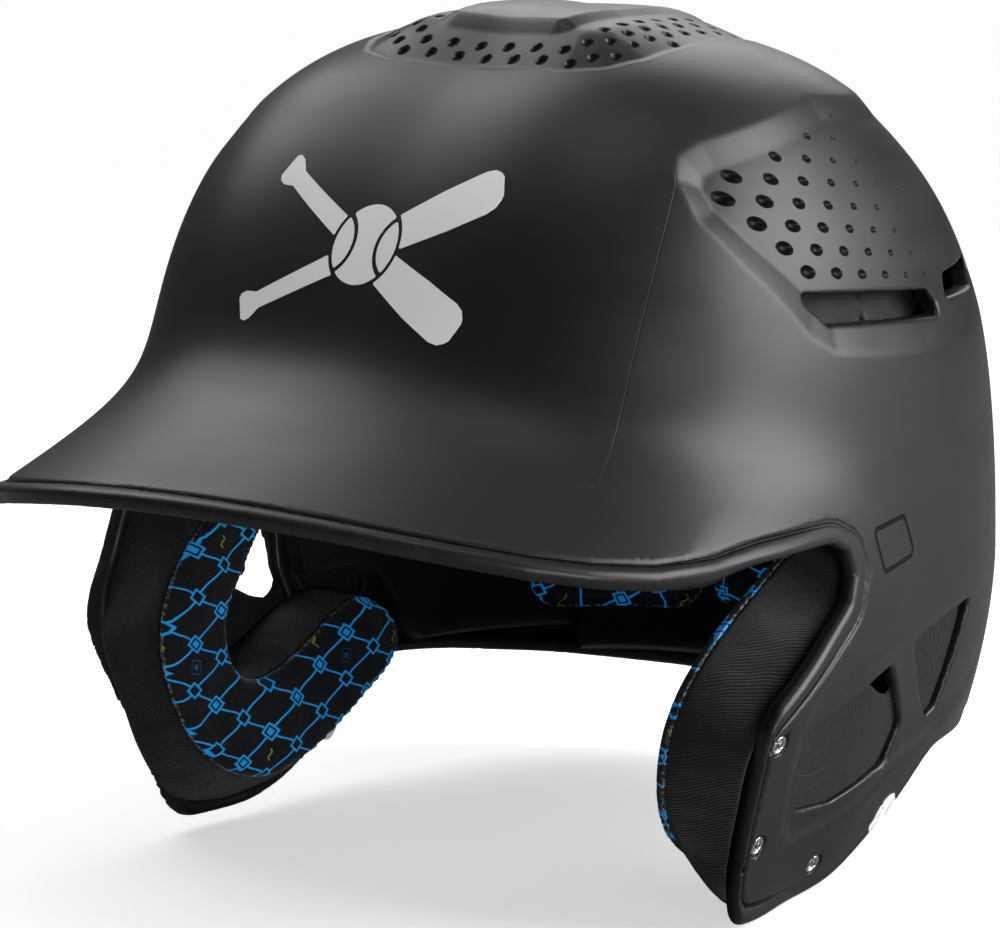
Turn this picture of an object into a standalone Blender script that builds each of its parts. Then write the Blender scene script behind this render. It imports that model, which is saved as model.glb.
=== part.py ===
"""Batting helmet: double-flap moulded shell with vents and flap windows, foam
liner, printed comfort pads, padded ear cups, threaded inserts and decals.

Frame: +X is the wearer's left, -Y is the front (brim), +Z is up.  The origin is
the centre of the footprint, on the plane of the lowest edge of the ear flaps.
Dimensions are in millimetres, measured from the dome's vertical axis and the flap
datum, and world() turns them into metres from the origin.  Angles run from the
front, positive towards the wearer's left.
"""
import math

import bmesh
import bpy
import numpy as np
from mathutils import Vector

MM = 0.001
SIDES = (("left", 1), ("right", -1))   # name and sign of x

# ---------------------------------------------------------------- shell surface
Y_AXIS = 20.4          # the dome's vertical axis sits this far behind the origin
Z_AXIS = 10.0          # height of the flap datum above the lowest edge

DOME_Z = 83.0          # level of the widest section, above the flap datum
DOME_H = 142.0         # dome height above that level
DOME_TOP = DOME_Z + DOME_H
HALF_WIDTH = 110.0
FRONT_LEN = 116.4
BACK_LEN = 131.5
PLAN_POWER = 2.42      # superellipse power of the horizontal sections
POWER_SIDE, POWER_FRONT, POWER_BACK = 3.16, 2.105, 1.9   # and of the vertical ones

# Outward flare that makes the brim in front and fades along the flaps, and inward
# taper below the widest section.  Columns: angle from the front in degrees, flare,
# level where the flare is full, level where it starts, level where the taper
# starts, taper at the datum.
ANGLES, FLARE, FLARE_END, FLARE_TOP, TAPER_TOP, TAPER = zip(*[
    (0, 58, 115.3, 137, 50, 21),
    (13, 56.3, 113.3, 136, 50, 21),
    (26, 52.4, 107.6, 133.5, 50, 21),
    (37, 45.1, 101.7, 130, 50, 21),
    (43, 39, 99.1, 128, 50, 21),
    (50, 30.5, 97.6, 126, 50, 21),
    (57.6, 22.3, 96, 124, 50, 21),
    (70.5, 11, 92, 121, 56, 20),
    (90, 4, 85, 116, 66, 18),
    (120, 1.5, 80, 112, 72, 17),
    (180, 1, 80, 112, 74, 20),
])
FLARE_ROUNDING = 6.0             # softness of the bend where the flare starts
FLARE_CAP = 1.02                 # the flare levels off at this multiple of its size
FRONT_EXTRA_CAP = 0.5            # added to the cap in front
FRONT_CAP_FADE = (42, 53)        # degrees over which that addition fades out
NO_BRIM_FADE = (52, 70)          # degrees over which a brimless surface regains flare
TAPER_POWER = 1.8
TAPER_LIMIT = 1.2                # largest share of the taper's height
CHIN_FADE = (58, 88)             # degrees over which CHIN_TAPER gives way to TAPER
CHIN_Z = [-12, 0, 17.4, 30, 40, 50, 60, 70]
CHIN_TAPER = [25, 23, 17.5, 12.2, 7.3, 3.0, 0.7, 0]   # inward taper at those levels

NORMAL_TURN, NORMAL_RISE = 0.012, 0.6   # steps for normals, radians and mm
NORMAL_TOP_MARGIN = 0.9                 # keeps those steps below the dome's top
SIDE_X_STEPS = 30                       # rounds of iteration in side_x

WALL = 3.6             # shell wall
GAP = 0.35             # gap between the ear cup's face and the pieces behind it
CROWN_PAD_RISE = 4.6   # raised panel on the crown

SHELL_COLUMNS = 60
CROWN_ROWS = 8
SIDE_ROWS = [150, 142, 135, 129, 123, 117, 110, 103, 95, 84, 72, 60, 50, 40, 30, 20, 10, 0, -14]

# ------------------------------------------------------------ shell outlines
# Side-view lines (y, z) of the open lower edge, from the brim to the nape.  The
# right flap stands a little further forward and is a little shorter.
BRIM_EDGE = [(-260, 117), (-172.2, 115.3), (-168, 113.3), (-154, 107.7), (-131.6, 101.6),
             (-116, 99.1), (-96.4, 97.6), (-73.6, 96.8)]
FLAP_EDGE_LEFT = [(-48, 96.2), (-38, 95.2), (-31.5, 92), (-29.5, 86), (-32.5, 79),
                  (-43.4, 72.5), (-64, 60.4), (-74.5, 53.2), (-77.6, 47.6), (-76.2, 41),
                  (-72.4, 30), (-69, 17), (-66.6, 4), (-63.5, -3.6), (-57, -7.6),
                  (-45, -9.2), (-30, -10), (-12, -9.6), (0, -7), (8, -2.5), (16, 3.5),
                  (24, 9.5), (31, 16.5)]
FLAP_EDGE_RIGHT = [(-60, 96.2), (-57.2, 94.6), (-55.5, 91), (-58, 84), (-61.3, 76.4),
                   (-65, 68), (-71.5, 58.5), (-76.3, 52), (-77.6, 46), (-77.6, 38),
                   (-77.5, 30.7), (-76.5, 18), (-72, 7), (-66.9, -1.2), (-60, -5.6),
                   (-48, -6.8), (-32.8, -6.4), (-22, -4.6), (-10, -2), (4, 3), (16, 8),
                   (24, 12), (31, 17)]
NAPE_EDGE = [(38, 21.5), (48, 22.5), (66, 21), (80, 19), (94, 17.2), (107, 15),
             (118, 13.4), (300, 13)]
BELOW_CORNERS = [(300, -60), (-260, -60)]   # close the cutter under the edge
EDGE_X_BLEND, EDGE_X_END = 40, 220          # |x| where the blend ends, and the cutter

# openings in the sides, side-view points (y, z)
WINDOW_FRONT = [(-4.1, 56.1), (10.3, 36.3), (5.5, 25.3), (-21.2, 20), (-38.4, 21.2),
                (-44.6, 29.5), (-49.6, 45.2)]
WINDOW_FRONT_RIGHT = ([(-5.2, 74.2), (4.6, 74.2), (4.6, 55.1)] + WINDOW_FRONT[1:]
                      + [(-5.2, 55.9)])
WINDOW_REAR = [(48.3, 65.7), (10, 59.3), (19.6, 43.4), (28.3, 33.9), (34, 35.8)]
SLOT_FRONT = [(-32.2, 160.6), (-31.4, 158.2), (-24.3, 151.6), (34, 146.5), (36.5, 149),
              (31.2, 154)]
SLOT_REAR = [(45, 156.5), (44, 150), (72, 149), (78, 153), (76, 157.5)]
OPENING_X = (60, 160)   # |x| range of the cutters


# ------------------------------------------------------------ surface functions
def smooth_step(start, end, value):
    """Smooth step from 0 at start to 1 at end, in either direction."""
    t = min(max((value - start) / (end - start), 0.0), 1.0)
    return t * t * (3 - 2 * t)


def interpolate(xs, ys, x):
    """Smooth interpolation through a table, level at both ends."""
    slopes = list(np.gradient(np.array(ys, float), np.array(xs, float)))
    slopes[0] = slopes[-1] = 0.0
    x = min(max(x, xs[0]), xs[-1])
    i = 0
    while i < len(xs) - 2 and x > xs[i + 1]:
        i += 1
    step = xs[i + 1] - xs[i]
    t = (x - xs[i]) / step
    return ((2 * t**3 - 3 * t**2 + 1) * ys[i] + (t**3 - 2 * t**2 + t) * step * slopes[i]
            + (-2 * t**3 + 3 * t**2) * ys[i + 1] + (t**3 - t**2) * step * slopes[i + 1])


def dome_power(angle):
    """Superellipse power of the vertical section at an angle."""
    cosine = math.cos(angle)
    end = POWER_FRONT if cosine > 0 else POWER_BACK
    return POWER_SIDE + (end - POWER_SIDE) * cosine * cosine


def plan_radius(angle):
    """Radius of the widest horizontal section."""
    sine, cosine = abs(math.sin(angle)), math.cos(angle)
    length = FRONT_LEN if cosine > 0 else BACK_LEN
    return ((sine / HALF_WIDTH)**PLAN_POWER
            + (abs(cosine) / length)**PLAN_POWER)**(-1 / PLAN_POWER)


def flare_share(degrees, z):
    """Share of the flare reached at a level: soft start, then a soft cap."""
    top = interpolate(ANGLES, FLARE_TOP, degrees)
    end = interpolate(ANGLES, FLARE_END, degrees)
    exponent = min((top - z) / FLARE_ROUNDING, 60.0)
    share = FLARE_ROUNDING * math.log1p(math.exp(exponent)) / (top - end)
    limit = FLARE_CAP + FRONT_EXTRA_CAP * (1 - smooth_step(*FRONT_CAP_FADE, degrees))
    mix = min(max(0.5 + limit - share, 0.0), 1.0)
    return limit * (1 - mix) + share * mix - 0.5 * mix * (1 - mix)


def radius(angle, z, brim=True):
    """Horizontal radius of the outer surface, with or without the brim's flare."""
    degrees = abs((math.degrees(angle) + 180) % 360 - 180)
    power = dome_power(angle)
    rise = min(max((z - DOME_Z) / DOME_H, 0.0), 1.0)
    dome = plan_radius(angle) * (1 - rise**power)**(1 / power)
    flare = interpolate(ANGLES, FLARE, degrees) * flare_share(degrees, z)
    if not brim:
        flare *= smooth_step(*NO_BRIM_FADE, degrees)
    start = interpolate(ANGLES, TAPER_TOP, degrees)
    drop = min(max((start - z) / start, 0.0), TAPER_LIMIT)
    taper = interpolate(ANGLES, TAPER, degrees) * drop**TAPER_POWER
    chin = interpolate(CHIN_Z, CHIN_TAPER, z)
    mix = smooth_step(*CHIN_FADE, degrees)
    return dome + flare - chin * (1 - mix) - taper * mix


def surface(angle, z, depth=0.0, brim=True):
    """Point on the outer surface, moved inwards along the normal by depth."""
    reach = radius(angle, z, brim)
    point = Vector((reach * math.sin(angle), -reach * math.cos(angle), z))
    if depth:
        point -= normal(angle, z, brim) * depth
    return point


def normal(angle, z, brim=True):
    """Outward normal of the outer surface."""
    z = min(z, DOME_TOP - NORMAL_TOP_MARGIN)
    across = (surface(angle + NORMAL_TURN, z, 0, brim)
              - surface(angle - NORMAL_TURN, z, 0, brim))
    upward = (surface(angle, z + NORMAL_RISE, 0, brim)
              - surface(angle, z - NORMAL_RISE, 0, brim))
    return across.cross(upward).normalized()


def crown_z(angle, fraction):
    """Height at which the dome's section has shrunk to the given fraction."""
    power = dome_power(angle)
    return DOME_Z + DOME_H * (1 - min(fraction, 1.0)**power)**(1 / power)


def dome_fraction(angle, z):
    """Inverse of crown_z."""
    power = dome_power(angle)
    return (1 - ((z - DOME_Z) / DOME_H)**power)**(1 / power)


def crown_rise(point):
    """Raised crown panel: a plateau that fades out to the sides, front and back."""
    side = 1 - smooth_step(13, 24, abs(point.x))
    front = smooth_step(-29, -15, point.y)
    back = 1 - smooth_step(62, 84, point.y)
    high = smooth_step(170, 215, point.z)
    return CROWN_PAD_RISE * side * front * back * high


def side_x(y, z):
    """x of the outer surface on the left side at a side-view point."""
    x = HALF_WIDTH
    for _ in range(SIDE_X_STEPS):
        x = math.sqrt(max(radius(math.atan2(x, -y), z)**2 - y * y, 1.0))
    return x


def world(point):
    return Vector((point.x, point.y + Y_AXIS, point.z + Z_AXIS)) * MM


# --------------------------------------------------------------- scene and parts
for old in list(bpy.data.objects):
    bpy.data.objects.remove(old, do_unlink=True)

parts = bpy.data.collections.new("batting_helmet")
cutters = bpy.data.collections.new("helmet_cutters")
bpy.context.scene.collection.children.link(parts)
bpy.context.scene.collection.children.link(cutters)

root = bpy.data.objects.new("helmet_root", None)
parts.objects.link(root)


def material(name, color, roughness, metallic=0.0):
    mat = bpy.data.materials.new(name)
    mat.use_nodes = True
    shader = mat.node_tree.nodes["Principled BSDF"]
    shader.inputs["Base Color"].default_value = (*color, 1.0)
    shader.inputs["Roughness"].default_value = roughness
    shader.inputs["Metallic"].default_value = metallic
    return mat


SHELL_BLACK = material("shell_matte_black", color=(0.016, 0.016, 0.017), roughness=0.42)
DECAL_GREY = material("decal_light_grey", color=(0.66, 0.67, 0.68), roughness=0.45)
ZINC = material("zinc_insert", color=(0.62, 0.62, 0.60), roughness=0.28, metallic=1.0)
FOAM_BLACK = material("liner_foam_black", color=(0.012, 0.012, 0.013), roughness=0.75)
PAD_PRINT = material("pad_printed_fabric", color=(0.011, 0.018, 0.03), roughness=0.85)
KNIT = material("knit_gusset", color=(0.014, 0.015, 0.017), roughness=0.9)
CORE_FOAM = material("pad_core_foam", color=(0.03, 0.03, 0.032), roughness=0.9)


def part(name, mesh, mat, location=(0, 0, 0)):
    obj = bpy.data.objects.new(name, mesh)
    obj.location = location
    parts.objects.link(obj)
    obj.parent = root
    mesh.materials.clear()
    mesh.materials.append(mat)
    return obj


def cutter_object(name, mesh):
    obj = bpy.data.objects.new(name, mesh)
    obj.hide_render = True
    cutters.objects.link(obj)
    return obj


def grid_mesh(name, rows, closed=False, apex=None):
    """Open quad surface through rows of points, facing away from the head's middle."""
    middle = Vector((0, Y_AXIS * MM, 0.11))
    mesh = bpy.data.meshes.new(name)
    verts, faces = [], []
    width = len(rows[0])
    for row in rows:
        verts += [world(point) for point in row]
    wrap = width if closed else width - 1
    for i in range(len(rows) - 1):
        for j in range(wrap):
            here, beside = i * width + j, i * width + (j + 1) % width
            faces.append((here, here + width, beside + width, beside))
    if apex is not None:
        verts.append(world(apex))
        for j in range(wrap):
            faces.append((len(verts) - 1, j, (j + 1) % width))
    mesh.from_pydata(verts, [], faces)
    mesh.validate()
    bm = bmesh.new()
    bm.from_mesh(mesh)
    bmesh.ops.recalc_face_normals(bm, faces=bm.faces)
    if sum((face.calc_center_median() - middle).dot(face.normal) for face in bm.faces) < 0:
        bmesh.ops.reverse_faces(bm, faces=bm.faces)
    bm.to_mesh(mesh)
    bm.free()
    return mesh


def solidify(obj, thickness):
    """Thicken a surface inwards."""
    mod = obj.modifiers.new("wall", "SOLIDIFY")
    mod.thickness = thickness * MM
    mod.offset = -1
    mod.use_even_offset = True


def boolean(obj, cutter, operation="DIFFERENCE"):
    mod = obj.modifiers.new(cutter.name, "BOOLEAN")
    mod.operation = operation
    mod.solver = "EXACT"
    mod.object = cutter


def shade(obj, angle=40):
    obj.data.shade_smooth()
    obj.data.set_sharp_from_angle(angle=math.radians(angle))


def prism(name, outline, low, high, axis="X"):
    """Flat outline extruded along X (outline in y, z) or along Y (in x, z)."""
    data = bpy.data.curves.new(name, "CURVE")
    data.dimensions = "2D"
    data.fill_mode = "BOTH"
    data.extrude = (high - low) / 2 * MM
    spline = data.splines.new("POLY")
    spline.points.add(len(outline) - 1)
    sign, shift = (1, Y_AXIS) if axis == "X" else (-1, 0.0)
    for point, (across, z) in zip(spline.points, outline):
        point.co = (sign * (across + shift) * MM, (z + Z_AXIS) * MM, 0, 1)
    spline.use_cyclic_u = True
    curve = bpy.data.objects.new(name + "_outline", data)
    middle = (low + high) / 2 * MM
    if axis == "X":
        curve.location = (middle, 0, 0)
        curve.rotation_euler = (math.pi / 2, 0, math.pi / 2)
    else:
        curve.location = (0, middle + Y_AXIS * MM, 0)
        curve.rotation_euler = (math.pi / 2, 0, math.pi)
    cutters.objects.link(curve)
    bpy.context.view_layer.update()
    graph = bpy.context.evaluated_depsgraph_get()
    mesh = bpy.data.meshes.new_from_object(curve.evaluated_get(graph))
    bm = bmesh.new()
    bm.from_mesh(mesh)
    # the curve's caps and sides come unjoined
    bmesh.ops.remove_doubles(bm, verts=bm.verts, dist=0.00001)
    bmesh.ops.recalc_face_normals(bm, faces=bm.faces)
    bm.to_mesh(mesh)
    bm.free()
    obj = cutter_object(name, mesh)
    obj.matrix_world = curve.matrix_world
    obj.display_type = "WIRE"
    bpy.data.objects.remove(curve, do_unlink=True)
    return obj


# --------------------------------------------------------------------- shell
def edge_cutter(name, left, right):
    """Everything below the lower edge: one outline per side, blended across the middle."""
    stations = [(-EDGE_X_END, right), (-EDGE_X_BLEND, right),
                (EDGE_X_BLEND, left), (EDGE_X_END, left)]
    count = len(left)
    verts = [world(Vector((x, y, z))) for x, outline in stations for y, z in outline]
    faces = [tuple(range(count))[::-1], tuple(range(3 * count, 4 * count))]
    for k in range(3):
        near, far = k * count, (k + 1) * count
        for i in range(count):
            j = (i + 1) % count
            faces.append((near + i, near + j, far + j, far + i))
    mesh = bpy.data.meshes.new(name)
    mesh.from_pydata(verts, [], faces)
    volume = 0.0
    for face in mesh.polygons:
        ring = [mesh.vertices[i].co for i in face.vertices]
        volume += sum(ring[0].dot(ring[i].cross(ring[i + 1])) for i in range(1, len(ring) - 1))
    if volume < 0:
        mesh.flip_normals()
    return cutter_object(name, mesh)


def shell_rows():
    angles = [2 * math.pi * j / SHELL_COLUMNS for j in range(SHELL_COLUMNS)]
    rows = []
    for i in range(1, CROWN_ROWS):
        row = []
        for angle in angles:
            fraction = (dome_fraction(angle, SIDE_ROWS[0])
                        * math.sin(0.5 * math.pi * i / CROWN_ROWS))
            point = surface(angle, crown_z(angle, fraction))
            point.z += crown_rise(point)
            row.append(point)
        rows.append(row)
    for z in SIDE_ROWS:
        rows.append([surface(angle, z) for angle in angles])
    return rows


def build_shell():
    apex = Vector((0, 0, DOME_TOP + CROWN_PAD_RISE))
    mesh = grid_mesh("outer_shell", shell_rows(), closed=True, apex=apex)
    shell = part("outer_shell", mesh, SHELL_BLACK)
    solidify(shell, WALL)
    boolean(shell, edge_cutter("cut_lower_edge",
                               BRIM_EDGE + FLAP_EDGE_LEFT + NAPE_EDGE + BELOW_CORNERS,
                               BRIM_EDGE + FLAP_EDGE_RIGHT + NAPE_EDGE + BELOW_CORNERS))
    for side, sign in SIDES:
        low, high = sorted(sign * x for x in OPENING_X)
        front = WINDOW_FRONT if side == "left" else WINDOW_FRONT_RIGHT
        for label, outline in (("front_window", front), ("rear_window", WINDOW_REAR),
                               ("front_slot", SLOT_FRONT), ("rear_slot", SLOT_REAR)):
            boolean(shell, prism(f"cut_{label}_{side}", outline, low, high))
    return shell


# ------------------------------------------------------------------- inserts
INSERTS = {"upper": (-65.3, 46.2), "front": (-56.8, 15.2), "lower": (-19.2, 0.7)}  # (y, z)
INSERT_R, INSERT_BORE, INSERT_LEN = 2.85, 1.7, 3.9   # outer and bore radius, length
INSERT_SINK = 0.45        # outer end below the shell's surface
INSERT_CLEARANCE = 0.3    # hole radius beyond the insert's
INSERT_HOLE_LEN = 16
INSERT_STEPS = 20


def insert_hole(name, centre, direction):
    mesh = bpy.data.meshes.new(name)
    bm = bmesh.new()
    hole_r = INSERT_R + INSERT_CLEARANCE
    bmesh.ops.create_cone(bm, cap_ends=True, segments=INSERT_STEPS, radius1=hole_r * MM,
                          radius2=hole_r * MM, depth=INSERT_HOLE_LEN * MM)
    bm.to_mesh(mesh)
    bm.free()
    obj = cutter_object(name, mesh)
    obj.location = world(centre)
    obj.rotation_euler = direction.to_track_quat("Z", "Y").to_euler()
    obj.display_type = "WIRE"
    return obj


def build_insert(name, centre, direction):
    """Sleeve turned from a rectangular section."""
    profile = [(INSERT_BORE, INSERT_LEN), (INSERT_R, INSERT_LEN), (INSERT_R, 0),
               (INSERT_BORE, 0)]
    mesh = bpy.data.meshes.new(name)
    mesh.from_pydata([(x * MM, 0, z * MM) for x, z in profile],
                     [(0, 1), (1, 2), (2, 3), (3, 0)], [])
    base = centre - direction * (INSERT_LEN + INSERT_SINK)
    obj = part(f"threaded_{name}", mesh, ZINC, world(base))
    obj.rotation_euler = direction.to_track_quat("Z", "Y").to_euler()
    mod = obj.modifiers.new("turn", "SCREW")
    mod.steps = mod.render_steps = INSERT_STEPS
    mod.use_merge_vertices = True
    mod.merge_threshold = 0.00001
    mod.use_normal_calculate = False
    mod.axis = "Z"


def build_inserts(shell):
    for side, sign in SIDES:
        for label, (y, z) in INSERTS.items():
            angle = math.atan2(side_x(y, z), -y)
            centre, direction = surface(angle, z), normal(angle, z)
            centre.x *= sign
            direction.x *= sign
            boolean(shell, insert_hole(f"cut_insert_{label}_{side}", centre, direction))
            build_insert(f"insert_{label}_{side}", centre, direction)


# ------------------------------------------------------- liner and comfort pads
LINER_IN, LINER_T = 4.7, 9.0           # depth below the outer surface, thickness
PAD_IN, PAD_T = 14.3, 9.0
TEMPLE_PAD_IN = PAD_IN + 1.3
CROWN_LINER_IN, CROWN_PAD_IN = 4.6, 15.6
LINER_TOP_FRACTION = 0.55              # dome fraction at the bands' top edge
CROWN_LINER_FRACTION, CROWN_PAD_FRACTION = 0.50, 0.36   # and at the discs' rims
CROWN_SHRINK = 0.985                   # sideways shrink of the crown discs
ARC_PER_DEGREE = 1.9                   # rough arc length along a band


def liner_low(degrees):
    """Lower edge of the side liner: above the ear cups, low at the nape."""
    turn = abs(degrees)
    return 101 - 50 * smooth_step(91.3, 96.6, turn) - 27 * smooth_step(107.5, 119, turn)


def liner_high(degrees):
    return crown_z(math.radians(degrees), LINER_TOP_FRACTION)


# name, start and end angle in degrees, lower edge, columns, rows
LINER_BANDS = [
    ("liner_front", -56.2, 56.2, lambda degrees: 131, 20, 6),
    ("liner_side_left", 58.4, 146, liner_low, 16, 8),
    ("liner_side_right", -58.4, -146, liner_low, 16, 8),
    ("liner_rear", 147.8, 212.2, lambda degrees: 17, 12, 9),
]
# name, start and end angle in degrees, low z, high z, depth, columns, rows, corner radius
PADS = [
    ("forehead_pad", -40, 40, 136, 162, PAD_IN, 18, 3, 6),
    ("temple_pad_left", 60, 96, 112, 140, TEMPLE_PAD_IN, 10, 3, 6),
    ("temple_pad_right", -60, -96, 112, 140, TEMPLE_PAD_IN, 10, 3, 6),
    ("rear_pad_right", -139, -168, 30, 76, PAD_IN, 10, 4, 8),
    ("rear_pad_center", 170, 190, 31, 76, PAD_IN, 8, 4, 8),
    ("rear_pad_left", 139, 168, 30, 76, PAD_IN, 10, 4, 8),
]


def slab(name, mesh, mat, thickness):
    obj = part(name, mesh, mat)
    solidify(obj, thickness)
    shade(obj)


def band_mesh(name, start, end, low, high, depth, column_count, row_count, corner=0.0):
    """Curved surface under the shell; low and high give its edges at an angle."""
    rows = []
    for i in range(row_count + 1):
        row = []
        for j in range(column_count + 1):
            t = j / column_count
            degrees = start + (end - start) * t
            bottom, top = low(degrees), high(degrees)
            from_end = min(t, 1 - t) * abs(end - start) * ARC_PER_DEGREE
            cut = 0.0
            if corner and from_end < corner:
                cut = corner - math.sqrt(max(corner**2 - (corner - from_end)**2, 0.0))
            z = (top - cut) + (bottom - top + 2 * cut) * (i / row_count)
            row.append(surface(math.radians(degrees), z, depth, brim=False))
        rows.append(row)
    return grid_mesh(name, rows)


def disc_mesh(name, rim_fraction, depth, column_count, row_count):
    """Domed disc under the crown."""
    rows = []
    for i in range(1, row_count + 1):
        row = []
        for j in range(column_count):
            angle = 2 * math.pi * j / column_count
            z = crown_z(angle, rim_fraction * i / row_count)
            point = surface(angle, z, brim=False)
            row.append(Vector((point.x * CROWN_SHRINK, point.y * CROWN_SHRINK,
                               point.z - depth)))
        rows.append(row)
    return grid_mesh(name, rows, closed=True, apex=Vector((0, 0, DOME_TOP - depth)))


def build_liner():
    for name, start, end, low, column_count, row_count in LINER_BANDS:
        mesh = band_mesh(name, start, end, low, liner_high, LINER_IN, column_count, row_count)
        slab(name, mesh, FOAM_BLACK, LINER_T)
    mesh = disc_mesh("liner_crown", CROWN_LINER_FRACTION, CROWN_LINER_IN,
                     column_count=28, row_count=4)
    slab("liner_crown", mesh, FOAM_BLACK, LINER_T)


def build_pads():
    for name, start, end, low, high, depth, column_count, row_count, corner in PADS:
        mesh = band_mesh(name, start, end, lambda degrees: low, lambda degrees: high,
                         depth, column_count, row_count, corner)
        slab(name, mesh, PAD_PRINT, PAD_T)
    mesh = disc_mesh("crown_pad", CROWN_PAD_FRACTION, CROWN_PAD_IN,
                     column_count=24, row_count=3)
    slab("crown_pad", mesh, PAD_PRINT, PAD_T)


# -------------------------------------------------------------------- ear cups
# Ear pad outline in side view (y, z): outer edge, then ear opening.
EAR_OPENING = [(17, 46.5), (5, 44.5), (-9, 38.5), (-24, 33.5), (-36, 32), (-45, 35.5),
               (-48.5, 43.5), (-46, 53), (-37.5, 62), (-28, 71), (-17, 79), (-8, 85)]
EAR_OUTLINE = [(-18, 95), (-32, 89), (-46, 81), (-59, 72), (-70, 61), (-75, 50),
               (-75.5, 40), (-72.5, 28), (-65.5, 17), (-54, 8.5), (-38, 4.5), (-22, 6.5),
               (-5, 12), (12, 19), (25, 25), (31, 33), (27.5, 41.5),
               *EAR_OPENING, (-8.5, 92)]
# Outline of the cups' seat on the inside of each flap, point for point.
EAR_SEAT = {
    "left": [(-14, 96), (-25, 91), (-27.5, 80.5), (-40, 70), (-60, 57.8), (-71.5, 49.5),
             (-72.5, 41), (-68.5, 29), (-65, 16), (-61, 2), (-52, -4), (-34, -5.5),
             (-12, -4.5), (6, 2.5), (22, 13), (31, 24), (29, 38),
             *EAR_OPENING[:6], (-48.5, 43), (-44, 50), (-33, 58), (-22, 67), (-12, 78),
             (-6, 85), (-7, 92)],
    "right": [(-22, 97), (-38, 95), (-52, 90), (-57, 77), (-66, 60), (-72.5, 50),
              (-73.5, 40), (-73, 28), (-71.5, 16), (-64, 2.5), (-50, -2.5), (-30, -2),
              (-10, 2.5), (8, 10), (22, 17), (31, 27), (29, 38),
              *EAR_OPENING, (-12, 93)],
}
EAR_LOOP_POINTS = 60
# inner face: x = EAR_FACE_X at z = EAR_FACE_Z, tilted outwards going up
EAR_FACE_X, EAR_FACE_Z, EAR_FACE_TILT = 75.0, 10, 0.2
EAR_FACE_T = 4.0
GUSSET_T = 3.0
CORE_FACE_CLEARANCE, CORE_SEAT_CLEARANCE = 1.1, 1.3   # core inside gusset, beyond GAP
GUSSET_WALL_GAP, CORE_WALL_GAP = 1.6, 2.6             # from the inside of the shell


def smooth_loop(points):
    """Closed Catmull-Rom loop through the outline points."""
    count = len(points)
    loop = []
    for i in range(EAR_LOOP_POINTS):
        position = i / EAR_LOOP_POINTS * count
        k = int(position)
        t = position - k
        before, start, end, after = (np.array(points[(k + step) % count], float)
                                     for step in (-1, 0, 1, 2))
        loop.append(0.5 * ((2 * start) + (end - before) * t
                           + (2 * before - 5 * start + 4 * end - after) * t * t
                           + (3 * start - before - 3 * end + after) * t**3))
    return loop


def inset(loop, distance):
    """Loop moved inwards by a distance (the loop runs round its material)."""
    area = sum(a[0] * b[1] - b[0] * a[1] for a, b in zip(loop, loop[1:] + loop[:1]))
    sign = 1 if area > 0 else -1
    moved = []
    for i, point in enumerate(loop):
        along = loop[(i + 1) % len(loop)] - loop[i - 1]
        along = along / np.linalg.norm(along)
        moved.append(point + sign * distance * np.array([-along[1], along[0]]))
    return moved


def face_x(shift):
    """x over the tilted inner plane, moved outwards by shift."""
    return lambda y, z: EAR_FACE_X + EAR_FACE_TILT * (z - EAR_FACE_Z) + shift


def wall_x(shift):
    """x of the inside of the flap, moved inwards by shift."""
    return lambda y, z: side_x(y, z) - (WALL + shift)


def ear_slab(name, loops, sign, near_x, far_x, mat):
    """Loft between two surfaces, near the head and near the flap.

    near_x and far_x give x at a side-view point; loops holds pairs of outlines,
    near and far, with a second pair for the inner side of a band."""
    mesh = bpy.data.meshes.new(name)
    bm = bmesh.new()

    def add_ring(loop, x_at):
        return [bm.verts.new(world(Vector((sign * x_at(y, z), y, z)))) for y, z in loop]

    def bridge(first, second):
        for i in range(len(first)):
            j = (i + 1) % len(first)
            bm.faces.new((first[i], first[j], second[j], second[i]))

    rings = []
    for near_loop, far_loop in loops:
        near, far = add_ring(near_loop, near_x), add_ring(far_loop, far_x)
        rings.append((near, far))
        bridge(near, far)
    if len(loops) == 1:
        for ring in rings[0]:
            edges = [bm.edges.get((ring[i], ring[(i + 1) % len(ring)]))
                     for i in range(len(ring))]
            bmesh.ops.triangle_fill(bm, use_beauty=True, use_dissolve=False, edges=edges)
    else:
        for outer, inner in zip(*rings):
            bridge(outer, inner)
    bmesh.ops.recalc_face_normals(bm, faces=bm.faces)
    bm.to_mesh(mesh)
    bm.free()
    shade(part(name, mesh, mat))


def build_ear_cups():
    outline = smooth_loop(EAR_OUTLINE)
    outline_inner = inset(outline, GUSSET_T)
    outline_core = inset(outline, GUSSET_T + GAP + CORE_FACE_CLEARANCE)
    behind_face = face_x(EAR_FACE_T + GAP)
    for side, sign in SIDES:
        seat = smooth_loop(EAR_SEAT[side])
        seat_inner = inset(seat, GUSSET_T)
        seat_core = inset(seat, GUSSET_T + GAP + CORE_SEAT_CLEARANCE)
        ear_slab(f"ear_pad_face_{side}", [(outline, outline)], sign,
                 face_x(0), face_x(EAR_FACE_T), PAD_PRINT)
        ear_slab(f"ear_pad_gusset_{side}", [(outline, seat), (outline_inner, seat_inner)],
                 sign, behind_face, wall_x(GUSSET_WALL_GAP), KNIT)
        ear_slab(f"ear_pad_core_{side}", [(outline_core, seat_core)], sign,
                 behind_face, wall_x(CORE_WALL_GAP), CORE_FOAM)


# ---------------------------------------------------------------------- decals
DECAL_T = 0.6
DECAL_LIFT = 0.3       # gap between shell and decal
DECAL_ROWS, DECAL_COLUMNS = 8, 12
BAT_LENGTH, BAT_ANGLE, BAT_Z = 80, math.radians(27), 172
# share of the length from the knob, half width
BAT_STATIONS = [(0.0, 2.6), (0.02, 3.0), (0.045, 2.6), (0.06, 1.5), (0.35, 1.7),
                (0.6, 3.4), (0.8, 4.7), (0.94, 4.9), (0.985, 3.6), (1.0, 1.6)]


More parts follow.
